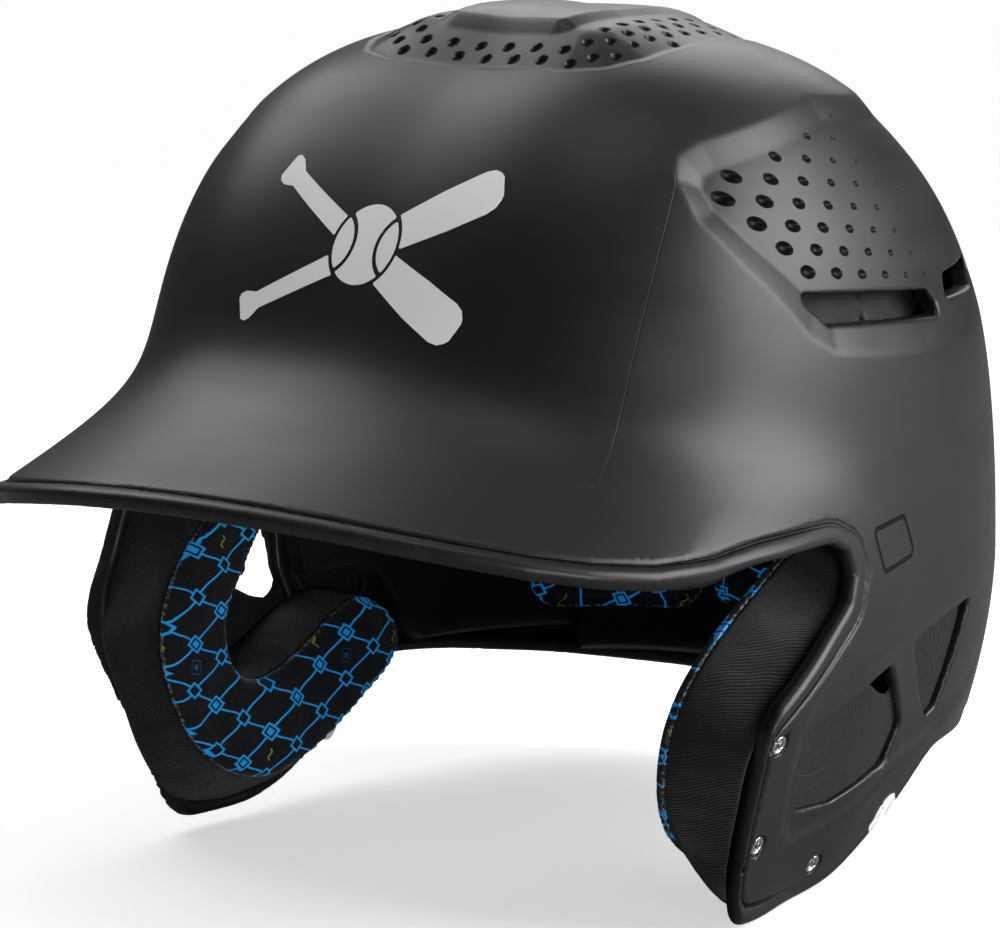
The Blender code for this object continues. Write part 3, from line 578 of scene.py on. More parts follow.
def surface_nets(values, low, step):
    """Vertices and quads of the zero surface on a grid, facing outwards."""
    nx, ny, nz = values.shape
    inside = values < 0
    corners = [(i, j, k) for i in (0, 1) for j in (0, 1) for k in (0, 1)]
    count = sum(inside[i:nx - 1 + i, j:ny - 1 + j, k:nz - 1 + k].astype(np.int8)
                for i, j, k in corners)
    active = (count > 0) & (count < 8)
    index = -np.ones(active.shape, np.int64)
    cells = np.argwhere(active)
    index[active] = np.arange(len(cells))
    total = np.zeros((len(cells), 3))
    number = np.zeros(len(cells))
    for a in range(8):
        for b in range(a + 1, 8):
            ca, cb = np.array(corners[a]), np.array(corners[b])
            if np.abs(ca - cb).sum() != 1:
                continue
            fa, fb = values[tuple((cells + ca).T)], values[tuple((cells + cb).T)]
            crossed = (fa < 0) != (fb < 0)
            t = fa[crossed] / (fa[crossed] - fb[crossed])
            total[crossed] += ca + t[:, None] * (cb - ca)
            number[crossed] += 1
    verts = (cells + total / number[:, None]) * step + low
    quads = []
    for axis in range(3):
        here, there = [slice(1, -1)] * 3, [slice(1, -1)] * 3
        here[axis], there[axis] = slice(0, -1), slice(1, None)
        first = inside[tuple(here)]
        edges = np.argwhere(first != inside[tuple(there)])
        flip = first[tuple(edges.T)]
        offset = np.array([1, 1, 1])
        offset[axis] = 0
        edges = edges + offset
        du, dv = np.eye(3, dtype=int)[[(axis + 1) % 3, (axis + 2) % 3]]
        quad = np.stack([index[tuple((edges - d).T)] for d in (du + dv, dv, 0 * du, du)], 1)
        quads.append(np.where(flip[:, None], quad, quad[:, ::-1]))
    return verts, np.concatenate(quads)


def split_quads(verts, quads):
    """Triangles from quads, cut along the shorter diagonal."""
    first = np.linalg.norm(verts[quads[:, 0]] - verts[quads[:, 2]], axis=1)
    second = np.linalg.norm(verts[quads[:, 1]] - verts[quads[:, 3]], axis=1)
    a, b = quads[first <= second], quads[first > second]
    return np.concatenate([a[:, [0, 1, 2]], a[:, [0, 2, 3]], b[:, [0, 1, 3]], b[:, [1, 2, 3]]])


def face_edges(faces):
    n = faces.shape[1]
    return np.concatenate([faces[:, [i, (i + 1) % n]] for i in range(n)])


def refine(verts, tris, wanted, fn, rounds=3, factor=1.45):
    """Splits the edges that are too long, keeping the mesh closed."""
    for _ in range(rounds):
        edges = np.sort(face_edges(tris), 1)
        key = edges[:, 0].astype(np.int64) * len(verts) + edges[:, 1]
        keys, inverse = np.unique(key, return_inverse=True)
        start, end = keys // len(verts), keys % len(verts)
        middle = (verts[start] + verts[end]) / 2
        mark = np.linalg.norm(verts[start] - verts[end], axis=1) > factor * wanted(middle)
        if not mark.any():
            break
        new = -np.ones(len(keys), np.int64)
        new[mark] = len(verts) + np.arange(mark.sum())
        verts = np.concatenate([verts, project(middle[mark], fn, 3, 0.5)])
        mids = new[inverse].reshape(3, len(tris)).T       # midpoints of edges 01, 12, 20
        count = (mids >= 0).sum(1)
        out = [tris[count == 0]]
        for shift in range(3):
            a, b, c = np.roll(tris, -shift, 1).T
            ab, bc, _ = np.roll(mids, -shift, 1).T
            s = (count == 1) & (ab >= 0)
            out += [np.stack([a[s], ab[s], c[s]], 1), np.stack([ab[s], b[s], c[s]], 1)]
            s = (count == 2) & (ab >= 0) & (bc >= 0)
            out += [np.stack([ab[s], b[s], bc[s]], 1), np.stack([a[s], ab[s], bc[s]], 1),
                    np.stack([a[s], bc[s], c[s]], 1)]
        a, b, c = tris[count == 3].T
        ab, bc, ca = mids[count == 3].T
        out += [np.stack([a, ab, ca], 1), np.stack([ab, b, bc], 1), np.stack([ca, bc, c], 1),
                np.stack([ab, bc, ca], 1)]
        tris = np.concatenate(out)
    return verts, tris


def relax(verts, tris, fn, rounds=2, amount=0.45):
    """Evens out the vertices along the surface."""
    edges = face_edges(tris)
    for _ in range(rounds):
        total, count = np.zeros_like(verts), np.zeros(len(verts))
        for a, b in ((0, 1), (1, 0)):
            np.add.at(total, edges[:, a], verts[edges[:, b]])
            np.add.at(count, edges[:, a], 1)
        normal = unit(forward_gradient(verts, fn, 0.3)[1])
        move = total / count[:, None] - verts
        move -= (move * normal).sum(1)[:, None] * normal
        verts = project(verts + amount * move, fn, 2, 0.5)
    return verts


def build_shell(step=3.0):
    """Vertices, triangles and normals of the shell."""
    nx = int(126 / step)
    xs = step * np.arange(-nx, nx + 1)
    ys = np.arange(-180, 140, step)
    zs = np.arange(-16, 238, step)
    gx, gy, gz = np.meshgrid(xs, ys, zs, indexing="ij")
    points = np.stack([gx.ravel(), gy.ravel(), gz.ravel()], 1)
    # a thicker wall keeps its two sides in separate cells
    values = shell_distance(points, False, 1.8).reshape(gx.shape)
    verts, quads = surface_nets(values, np.array([xs[0], ys[0], zs[0]]), step)

    def coarse(points):
        return shell_distance(points, False)
    verts = project(verts, coarse, 6, 1.2)
    tris = split_quads(verts, quads)
    verts = relax(verts, tris, coarse, 2)
    verts = project(verts, shell_distance, 3)
    verts, tris = refine(verts, tris, wanted_length, shell_distance)
    verts = relax(verts, tris, shell_distance, 1, 0.3)
    verts = project(verts, shell_distance, 3)
    return verts, tris, normals_of(verts, shell_distance, 0.4)


# ================================================================ mesh helpers
def make(name, points, faces, material, node=None, slot=None, attributes=None, normals=None,
         sharp=None):
    """Smooth mesh from dome-frame points, riding on the helmet's body.

    Without given normals its faces are turned outwards; sharp is a crease angle in degrees."""
    mesh = bpy.data.meshes.new(name)
    faces = [np.asarray(f, int) for f in (faces if isinstance(faces, list) else [faces])]
    flat = np.concatenate([f.ravel() for f in faces])
    size = np.concatenate([np.full(len(f), f.shape[1]) for f in faces])
    start = np.concatenate([[0], np.cumsum(size)[:-1]])
    metres = (np.asarray(points, float) + np.array([0.0, DOME_Y, DOME_Z0])) * MM
    mesh.vertices.add(len(metres))
    mesh.vertices.foreach_set("co", metres.astype(np.float32).ravel())
    mesh.loops.add(len(flat))
    mesh.loops.foreach_set("vertex_index", flat.astype(np.int32))
    mesh.polygons.add(len(size))
    mesh.polygons.foreach_set("loop_start", start.astype(np.int32))
    mesh.polygons.foreach_set("loop_total", size.astype(np.int32))
    mesh.update(calc_edges=True)
    mesh.validate()
    for key, value in (attributes or {}).items():
        value = np.asarray(value, np.float32)
        scalar = value.ndim == 1
        layer = mesh.attributes.new(key, "FLOAT" if scalar else "FLOAT_VECTOR", "POINT")
        layer.data.foreach_set("value" if scalar else "vector", value.ravel())
    mesh.shade_smooth()
    if normals is not None:
        mesh.normals_split_custom_set_from_vertices([tuple(n) for n in normals])
    mesh.materials.append(material)
    obj = bpy.data.objects.new(name, mesh)
    bpy.context.scene.collection.objects.link(obj)
    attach(obj, "root")
    if node:
        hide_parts(node)
    if normals is None:
        face_out(mesh)
    if sharp:
        mesh.set_sharp_from_angle(angle=math.radians(sharp))
    return obj


def vertex_positions(mesh):
    co = np.empty(len(mesh.vertices) * 3, np.float32)
    mesh.vertices.foreach_get("co", co)
    return co.reshape(-1, 3)


def face_out(mesh):
    """Turns the faces outwards if the closed mesh is inside out."""
    mesh.calc_loop_triangles()
    tris = np.empty(len(mesh.loop_triangles) * 3, np.int32)
    mesh.loop_triangles.foreach_get("vertices", tris)
    t = vertex_positions(mesh)[tris.reshape(-1, 3)]
    if (t[:, 0] * np.cross(t[:, 1], t[:, 2])).sum() < 0:
        mesh.flip_normals()


def under_surface(angle, z, depth):
    """Points at a depth under the outer surface without its brim."""
    angle, z, depth = np.broadcast_arrays(*(np.asarray(q, float) for q in (angle, z, depth)))

    def at(angle, z):
        r = radius(angle, z, brim=False)
        return np.stack([r * np.sin(angle), -r * np.cos(angle), z], -1)
    z1 = np.minimum(z, DOME_BASE + DOME_HEIGHT - 0.9)
    around = at(angle + 0.012, z1) - at(angle - 0.012, z1)
    upward = at(angle, z1 + 0.6) - at(angle, z1 - 0.6)
    normal = np.cross(around, upward)
    normal /= np.linalg.norm(normal, axis=-1)[..., None]
    return at(angle, z) - normal * depth[..., None]


def dome_z(angle, share):
    """Height of the dome at a share of its base radius."""
    power = upright_power(np.cos(angle))
    return DOME_BASE + DOME_HEIGHT * (1 - share**power)**(1 / power)


def strip(a, b):
    """Quads between two closed rings of vertices."""
    return np.stack([np.roll(a, -1), a, b, np.roll(b, -1)], 1)


def wrapped_grid(rows, columns):
    """Quads of a grid that closes in both directions."""
    index = np.arange(rows * columns).reshape(rows, columns)
    beside = np.roll(index, -1, 1)
    quads = np.stack([index, beside, np.roll(beside, -1, 0), np.roll(index, -1, 0)], -1)
    return quads.reshape(-1, 4)


def plate(distance, low, high, step):
    """Flat quads where distance < 0, with the rim pulled onto the outline, and rim loops."""
    us, vs = np.arange(low[0], high[0] + step, step), np.arange(low[1], high[1] + step, step)
    uu, vv = np.meshgrid(us, vs, indexing="ij")
    points = np.stack([uu.ravel(), vv.ravel()], 1)
    inside = (distance(points[:, 0], points[:, 1]) < -0.3 * step).reshape(uu.shape)
    nu, nv = uu.shape
    cell = np.zeros((nu - 1, nv - 1), bool)               # cells with any corner inside
    for i in (0, 1):
        for j in (0, 1):
            cell |= inside[i:i + nu - 1, j:j + nv - 1]
    index = np.arange(uu.size).reshape(uu.shape)
    quads = np.stack([index[:-1, :-1][cell], index[1:, :-1][cell], index[1:, 1:][cell],
                      index[:-1, 1:][cell]], 1)
    used, inverse = np.unique(quads, return_inverse=True)
    quads = inverse.reshape(quads.shape)
    p = points[used].copy()
    edges = face_edges(quads)
    key = edges[:, 0] * len(p) + edges[:, 1]
    back = edges[:, 1] * len(p) + edges[:, 0]
    border = edges[~np.isin(key, back)]
    rim = np.zeros(len(p), bool)
    rim[border.ravel()] = True

    def pull(a):
        for _ in range(4):
            value, slope = forward_gradient(a, lambda q: distance(q[:, 0], q[:, 1]), 0.05)
            a = a - (value / np.maximum((slope * slope).sum(1), 0.3))[:, None] * slope
        return a
    p[rim] = pull(p[rim])
    both = np.concatenate([edges, edges[:, ::-1]])
    ring = np.concatenate([border, border[:, ::-1]])
    for _ in range(8):
        for pairs, who in ((ring, rim), (both, ~rim)):
            total, count = np.zeros_like(p), np.zeros(len(p))
            np.add.at(total, pairs[:, 0], p[pairs[:, 1]])
            np.add.at(count, pairs[:, 0], 1)
            p[who] = 0.5 * p[who] + 0.5 * (total[who] / np.maximum(count[who], 1)[:, None])
            if who is rim:
                p[rim] = pull(p[rim])
    following = {int(a): int(b) for a, b in border}
    loops = []
    while following:
        start = next(iter(following))
        loop = [start]
        current = following.pop(start)
        while current != start and current in following:
            loop.append(current)
            current = following.pop(current)
        loops.append(np.array(loop))
    return p, quads, loops


def outward(loop):
    """Outward directions in the plane of a counterclockwise loop."""
    d = np.roll(loop, -1, 0) - np.roll(loop, 1, 0)
    d /= np.linalg.norm(d, axis=1)[:, None] + 1e-9
    return np.stack([d[:, 1], -d[:, 0]], 1)


def cushion(name, flat, place, front, back, rings, material, sign=1, inset=None,
            rim_inset=0.0, **kw):
    """Closed cushion over a flat region.

    place(u, v, w) gives points; front and back give w over (u, v); rings lists (share of
    the way from front to back, outward bulge) for the side. inset holds the front's
    distances from the seam, and every other vertex gets rim_inset."""
    p, quads, loops = flat
    n = len(p)
    verts = [place(p[:, 0], p[:, 1], face(p[:, 0], p[:, 1])) for face in (front, back)]
    uv = [p, p]
    zone = [np.zeros(n), np.full(n, 2.0)]                 # 0 front, 1 side, 2 back
    faces = [quads, quads[:, ::-1] + n]
    total = 2 * n
    for loop in loops:
        a = p[loop]
        out = outward(a)
        wf, wb = front(a[:, 0], a[:, 1]), back(a[:, 0], a[:, 1])
        previous = loop
        for share, bulge in rings:
            b = a + out * bulge
            verts.append(place(b[:, 0], b[:, 1], wf + (wb - wf) * share))
            uv.append(a + out * (abs(bulge) + 3 * share))
            zone.append(np.full(len(a), 1.0))
            current = total + np.arange(len(a))
            total += len(a)
            faces.append(strip(previous, current))
            previous = current
        faces.append(strip(previous, loop + n))
    verts, uv, faces = np.concatenate(verts), np.concatenate(uv), np.concatenate(faces)
    if sign < 0:
        verts = verts * [-1, 1, 1]
        faces = faces[:, ::-1]
    attributes = {"fab": np.column_stack([uv, np.zeros(len(uv))]), "zone": np.concatenate(zone)}
    if inset is not None:
        attributes["inset"] = np.concatenate([inset, np.full(total - n, rim_inset)])
    return make(name, verts, faces, material, attributes=attributes, **kw)


# ================================================================ cloth
SOFT = []


def soften(obj, pinned, cap, pressure, shrink):
    """Queues a piece for the cloth simulation; cap limits its movement, mm."""
    SOFT.append(SimpleNamespace(obj=obj, pinned=pinned, cap=cap, pressure=pressure,
                                shrink=shrink))


def soften_front(obj, inset, seam, **settings):
    """Queues a cushion of which only the front, inside its seam width, may move."""
    pinned = np.ones(len(obj.data.vertices), bool)
    pinned[:len(inset)] = inset < seam
    soften(obj, pinned, **settings)


def add_cloth(piece, last):
    obj = piece.obj
    group = obj.vertex_groups.new(name="pin")
    group.add([int(i) for i in np.where(piece.pinned)[0]], 1.0, "REPLACE")
    cloth = obj.modifiers.new("cloth", "CLOTH")
    s = cloth.settings
    s.quality = 6
    s.mass = 0.25
    s.tension_stiffness = s.compression_stiffness = 12
    s.shear_stiffness = 6
    s.bending_stiffness = 0.4
    s.air_damping = 4
    s.use_pressure = True
    s.uniform_pressure_force = piece.pressure
    s.vertex_group_mass = "pin"
    s.shrink_min = piece.shrink
    s.effector_weights.gravity = 0
    cloth.collision_settings.use_collision = False
    cloth.collision_settings.use_self_collision = False
    cloth.point_cache.frame_start, cloth.point_cache.frame_end = 1, last


def keep_cloth(piece):
    """Applies the capped and smoothed movement and removes the modifier."""
    mesh = piece.obj.data
    move = piece.done - piece.rest
    move[~np.isfinite(move)] = 0
    length = np.linalg.norm(move, axis=1)
    move *= np.minimum(1, piece.cap * MM / np.maximum(length, 1e-9))[:, None]
    move[piece.pinned] = 0
    # even out the finest wrinkles, below the size of a stitch
    pairs = np.empty(len(mesh.edges) * 2, np.int32)
    mesh.edges.foreach_get("vertices", pairs)
    a, b = pairs[0::2], pairs[1::2]
    n = len(move)
    count = np.bincount(np.concatenate([a, b]), minlength=n)[:, None]
    for _ in range(8):
        near = np.zeros(move.shape)
        for axis in range(3):
            near[:, axis] = (np.bincount(a, move[b, axis], n) + np.bincount(b, move[a, axis], n))
        move = 0.5 * move + 0.5 * near / np.maximum(count, 1)
        move[piece.pinned] = 0
    piece.obj.modifiers.remove(piece.obj.modifiers["cloth"])
    piece.obj.vertex_groups.clear()
    mesh.vertices.foreach_set("co", (piece.rest + move).ravel())
    mesh.update()


def inflate_all(last=20):
    """Runs one cloth simulation over every soft piece and keeps the result."""
    scene = bpy.context.scene
    for piece in SOFT:
        piece.rest = vertex_positions(piece.obj.data)
        add_cloth(piece, last)
    for frame in range(1, last + 1):
        scene.frame_set(frame)
    graph = bpy.context.evaluated_depsgraph_get()
    for piece in SOFT:
        piece.done = vertex_positions(piece.obj.evaluated_get(graph).data)
    for piece in SOFT:
        keep_cloth(piece)
    scene.frame_set(1)


# ================================================================ materials
class Wire:
    """A node output; arithmetic on it adds Math nodes."""

    def __init__(self, graph, socket):
        self.graph, self.socket = graph, socket

    def __add__(self, other):
        return self.graph.math("ADD", self, other)

    def __radd__(self, other):
        return self.graph.math("ADD", other, self)

    def __sub__(self, other):
        return self.graph.math("SUBTRACT", self, other)

    def __rsub__(self, other):
        return self.graph.math("SUBTRACT", other, self)

    def __mul__(self, other):
        return self.graph.math("MULTIPLY", self, other)

    def __truediv__(self, other):
        return self.graph.math("DIVIDE", self, other)

    def __abs__(self):
        return self.graph.math("ABSOLUTE", self)


class Graph:
    """Small builder for node materials."""

    def __init__(self, name):
        self.material = bpy.data.materials.new(name)
        self.material.use_nodes = True
        self.tree = self.material.node_tree
        self.shader = self.tree.nodes["Principled BSDF"]

    def put(self, socket, value):
        if isinstance(value, Wire):
            self.tree.links.new(value.socket, socket)
        elif socket.type == "RGBA":
            socket.default_value = (*value, 1.0)
        else:
            socket.default_value = value

    def node(self, kind, inputs=None, output=0, **props):
        node = self.tree.nodes.new(kind)
        for key, value in props.items():
            setattr(node, key, value)
        for key, value in (inputs or {}).items():
            self.put(node.inputs[key], value)
        return Wire(self, node.outputs[output])

    def math(self, operation, *values, clamp=False):
        return self.node("ShaderNodeMath", dict(enumerate(values)), operation=operation,
                         use_clamp=clamp)

    def floor(self, value):
        return self.math("FLOOR", value)

    def nearest(self, value):
        return self.math("ROUND", value)

    def sine(self, value):
        return self.math("SINE", value)

    def maximum(self, a, b, clamp=False):
        return self.math("MAXIMUM", a, b, clamp=clamp)

    def limit(self, value, low, high):
        return self.math("MINIMUM", high, self.maximum(low, value))

    def step(self, value, start, end):
        """Smooth ramp from 0 at start to 1 at end."""
        return self.node("ShaderNodeMapRange", {"Value": value, "From Min": start,
                                                "From Max": end},
                         "Result", interpolation_type="SMOOTHSTEP")

    def mix(self, share, a, b):
        return self.node("ShaderNodeMix", {0: share, 6: a, 7: b}, 2, data_type="RGBA")

    def coords(self):
        return self.node("ShaderNodeTexCoord", output="Object")

    def attr(self, name, output="Fac"):
        return self.node("ShaderNodeAttribute", output=output, attribute_name=name)

    def split(self, vector):
        x = self.node("ShaderNodeSeparateXYZ", {0: vector})
        return [Wire(self, socket) for socket in x.socket.node.outputs]

    def noise(self, vector, scale, detail=2.0, roughness=0.5):
        return self.node("ShaderNodeTexNoise", {"Vector": vector, "Scale": scale,
                                                "Detail": detail, "Roughness": roughness},
                         "Fac")

    def bump(self, height, strength, distance, normal=None):
        inputs = {"Height": height, "Strength": strength, "Distance": distance}
        if normal is not None:
            inputs["Normal"] = normal
        return self.node("ShaderNodeBump", inputs, "Normal")

    def finish(self, **inputs):
        """Sets the shader's inputs, with underscores for the spaces in their names."""
        for key, value in inputs.items():
            self.put(self.shader.inputs[key.replace("_", " ")], value)
        return self.material


def shader_dimples(g, pattern, across, along, mask):
    """Depth of the dimples and a mask of their insides."""
    deepest, insides = None, None
    for _, ca, cb, da, db in lattice_places(g, pattern, across, along):
        distance = g.math("SQRT", da * da + db * db)
        r = pattern.radius(g, ca, cb)
        q = distance / r
        bowl = g.math("SUBTRACT", 1.0, q * q, clamp=True) * r
        inside = g.step(q, 1.04, 0.90)
        deepest = bowl if deepest is None else g.maximum(deepest, bowl)
        insides = inside if insides is None else g.maximum(insides, inside)
    on = g.math("GREATER_THAN", g.attr(mask), 0.5)
    return deepest * on, insides * on


def shell_material():
    g = Graph("shell_matte_plastic")
    c = g.coords()
    grain = g.noise(c, scale=2600, detail=3.0, roughness=0.62)   # moulded micro texture
    cloud = g.noise(c, scale=9, detail=3.0, roughness=0.55)
    stretched = g.node("ShaderNodeMapping", {"Vector": c, "Scale": (14, 14, 60)})
    smear = g.noise(stretched, scale=1.0, detail=4.0, roughness=0.6)
    edge = g.attr("edge")                                        # worn rims
    scuff = g.step(g.noise(c, scale=240, detail=4.0, roughness=0.7), 0.52, 0.72) * edge
    base = g.mix(g.step(cloud, 0.3, 0.7), (0.0100, 0.0100, 0.0106), (0.0135, 0.0135, 0.0140))
    base = g.mix(scuff * 0.35, base, (0.05, 0.05, 0.051))
    rough = 0.37 + g.step(smear, 0.25, 0.8) * 0.07
    rough = rough + (grain - 0.5) * 0.10
    rough = rough - edge * 0.05
    # moulded lines: inside the rim, round the badge, and the parting line
    rim, brim, badge, part = (g.attr(n) for n in ("rimdist", "brimzone", "badge", "parting"))

    def line(distance, at, half, soft):
        return g.step(abs(distance - at), half + soft, half)
    groove = line(rim, at=-5.55, half=0.28, soft=0.35) * brim
    flap = line(rim, at=-6.9, half=0.10, soft=0.35) * (1.0 - brim)
    mark = line(badge, at=-0.5, half=0.42, soft=0.35)
    cut = g.maximum(groove * 0.9, flap * 0.35)
    cut = g.maximum(cut, mark)
    cut = g.maximum(cut, line(part, at=0.0, half=0.06, soft=0.22) * 0.07)
    cut = g.math("MINIMUM", cut, 1.0)
    badge_floor = g.step(badge, -0.3, -0.9) * 0.4
    height = 1.0 - g.maximum(cut, badge_floor)
    # painted shade: the brim's groove and the badge line are darkened nearly to black
    base = g.mix(g.maximum(groove, mark) * 0.85, base, (0.003, 0.003, 0.003))
    # dimples, in dome-frame millimetres
    x, y, z = g.split(c)
    x = x * 1000.0
    y = y * 1000.0 - DOME_Y
    z = z * 1000.0 - DOME_Z0
    side_bowl, side_in = shader_dimples(g, SIDE_DIMPLES, y, z, "side_dimples")
    crown_bowl, crown_in = shader_dimples(g, CROWN_DIMPLES, x, y, "crown_dimples")
    bowl = side_bowl + crown_bowl
    inner = g.maximum(side_in, crown_in, clamp=True)
    deep = g.step(bowl, 0.1, 2.0)
    # painted shade: the dimples' insides are darkened, deeper ones more, and their specular is
    # lowered
    base = g.mix(inner * (0.45 + deep * 0.45), base, (0.0016, 0.0016, 0.0016))
    shine = 0.5 - inner * (0.12 + deep * 0.28)
    rough = rough - inner * 0.06
    # painted shade: less specular in the groove and the badge line
    shine = shine * (1.0 - g.maximum(groove, mark, clamp=True) * 0.8)
    sunk = crown_bowl * -CROWN_DIMPLES.depth - side_bowl * SIDE_DIMPLES.depth
    normal = g.bump(sunk, strength=1.0, distance=0.001)
    normal = g.bump(height, strength=1.0, distance=0.00045, normal=normal)
    normal = g.bump(grain, strength=0.22, distance=0.00006, normal=normal)
    return g.finish(Base_Color=base, Roughness=rough, Normal=normal, IOR=1.49,
                    Specular_IOR_Level=shine)


def decal_material():
    g = Graph("decal_light_grey_film")
    c = g.coords()
    grain = g.noise(c, scale=900, detail=3.0)
    cloud = g.noise(c, scale=30)
    edge = g.attr("rim")
    base = g.mix(cloud, (0.80, 0.81, 0.82), (0.88, 0.89, 0.90))
    base = g.mix(g.step(grain, 0.45, 0.75) * (edge * 0.5), base, (0.30, 0.30, 0.31))
    rough = 0.34 + grain * 0.14
    # painted light: the white film glows faintly through a weak emission
    return g.finish(Base_Color=base, Roughness=rough,
                    Normal=g.bump(grain, strength=0.15, distance=0.00005), IOR=1.5,
                    Emission_Color=(0.9, 0.91, 0.92), Emission_Strength=0.20)


def zinc_material():
    g = Graph("zinc_plated_insert")
    c = g.coords()
    cloud = g.noise(c, scale=1800, detail=3.0)
    grain = g.noise(c, scale=5200, detail=1.0)
    base = g.mix(cloud, (0.55, 0.56, 0.57), (0.82, 0.83, 0.84))
    return g.finish(Base_Color=base, Metallic=1.0, Roughness=0.16 + cloud * 0.2,
                    Normal=g.bump(grain, strength=0.2, distance=0.00004))


def foam_material(name, dark, light, roughness, bead, bead_relief):
    """Moulded foam with visible beads."""
    g = Graph(name)
    c = g.coords()
    cell = g.node("ShaderNodeTexVoronoi", {"Vector": c, "Scale": bead}, "Distance",
                  feature="DISTANCE_TO_EDGE")
    line = g.step(cell, 0.0, 0.09)
    grain = g.noise(c, scale=1500, detail=3.0, roughness=0.65)
    cloud = g.noise(c, scale=26, detail=4.0, roughness=0.6)
    base = g.mix(g.step(cloud, 0.3, 0.72), dark, light)
    base = g.mix((1.0 - line) * 0.5, base, tuple(0.4 * a for a in dark))
    rough = roughness + g.step(cloud, 0.35, 0.7) * 0.22
    height = line * bead_relief + grain * 0.5
    return g.finish(Base_Color=base, Roughness=rough,
                    Normal=g.bump(height, strength=0.35, distance=0.00022),
                    Sheen_Weight=0.06, Sheen_Roughness=0.5, Specular_IOR_Level=0.28)


def print_material(name, first, second, origin, edge_width):
    """Printed stretch fabric: fine lines on the lattice of two vectors, nested diamonds."""
    g = Graph(name)
    fab = g.attr("fab", "Vector")
    s, t, _ = g.split(fab)
    u = s - origin[0]
    v = t - origin[1]
    wobble = g.noise(fab, scale=0.05, detail=1.0)
    u = u + (wobble - 0.5) * 1.4
    (a1, a2), (b1, b2) = first, second
    det = a1 * b2 - a2 * b1
    a0 = u * (b2 / det) + v * (-b1 / det)
    b0 = u * (-a2 / det) + v * (a1 / det)
    a = a0 + g.sine(b0 * TURN) * 0.03
    b = b0 + g.sine(a0 * TURN) * 0.03
    ia, ib = g.nearest(a), g.nearest(b)
    da = abs(a - ia) * (abs(det) / math.hypot(b1, b2))
    db = abs(b - ib) * (abs(det) / math.hypot(a1, a2))
    near = g.maximum(da, db)
    line = g.math("MINIMUM", da, db)
    wide, narrow = 0.29 + 0.08, 0.29 - 0.08                # soft edge of a line's half width
    rows = abs(g.math("MODULO", ib, 2.0))                  # 1 on every second row
    size = 1.75 - rows * 0.15
    lines = g.step(line, wide, narrow) * g.step(near, size - 0.1, size)
    ring = g.step(abs(near - size), wide, narrow)
    solid = g.step(near, 0.95, 0.80) * (1.0 - rows)
    blue = g.maximum(g.maximum(lines, ring), solid, clamp=True)
    # small accents in some of the cells
    ca = g.math("FRACT", a + 64.0) - 0.5
    cb = g.math("FRACT", b + 64.0) - 0.5
    cell = g.floor(a + 64.0) + g.floor(b + 64.0) * 3.0
    kind = g.math("MODULO", cell, 7.0)
    pu = ca * a1 + cb * b1
    pv = ca * a2 + cb * b2
    along = pu * 0.34 + pv * 0.94
    across = pu * 0.94 - pv * 0.34
    bend = across - g.sine(along * 1.5) * 0.55
    stroke = g.step(abs(bend), 0.36, 0.22) * g.step(abs(along), 2.2, 2.0)
    yellow = stroke * g.math("COMPARE", kind, 2.0, 0.3)
    box = g.maximum(abs(along) * 0.62, abs(across))
    dots = g.step(abs(box - 1.35), 0.13, 0.05) + g.step(box, 0.62, 0.5)
    faint = dots * g.math("COMPARE", kind, 5.0, 0.3)
    # knit ground: fine courses, light fibre specks
    c = g.coords()
    course = g.sine((t + s * 0.3) * (TURN / 0.55))
    wale = g.sine((s - t * 0.3) * (TURN / 0.62))
    knit = (course + wale) * 0.25
    fuzz = g.noise(c, scale=3200, roughness=0.7)
    speck = g.step(g.noise(c, scale=2300, detail=1.0, roughness=0.8), 0.66, 0.74)
    cloud = g.noise(c, scale=45, detail=3.0)
    ground = g.mix(cloud, (0.0095, 0.0105, 0.0135), (0.0160, 0.0180, 0.0230))
    ground = g.mix(speck * 0.5, ground, (0.14, 0.16, 0.18))
    ink = g.mix(fuzz, (0.010, 0.40, 0.92), (0.030, 0.60, 1.0))
    color = g.mix(blue * g.step(fuzz, 0.18, 0.36), ground, ink)
    color = g.mix(faint * 0.7, color, (0.01, 0.22, 0.55))
    color = g.mix(yellow, color, (0.52, 0.50, 0.04))
    # light dashes close to the seam
    inset = g.attr("inset")
    dash = g.step(g.noise(c, scale=900, detail=1.0, roughness=0.6), 0.47, 0.60)
    edge = g.step(inset, edge_width + 0.25, edge_width) * g.step(inset, -0.3, 0.05) * dash
    color = g.mix(edge * 0.8, color, (0.26, 0.29, 0.31))
    height = knit + fuzz * 0.6
    # painted light: the blue print glows faintly through a weak emission
    return g.finish(Base_Color=color, Roughness=0.82,
                    Normal=g.bump(height, strength=0.5, distance=0.00016),
                    Emission_Color=(0.0, 0.30, 0.95), Emission_Strength=blue * 0.22,
                    Sheen_Weight=0.25, Sheen_Roughness=0.45, Specular_IOR_Level=0.25)


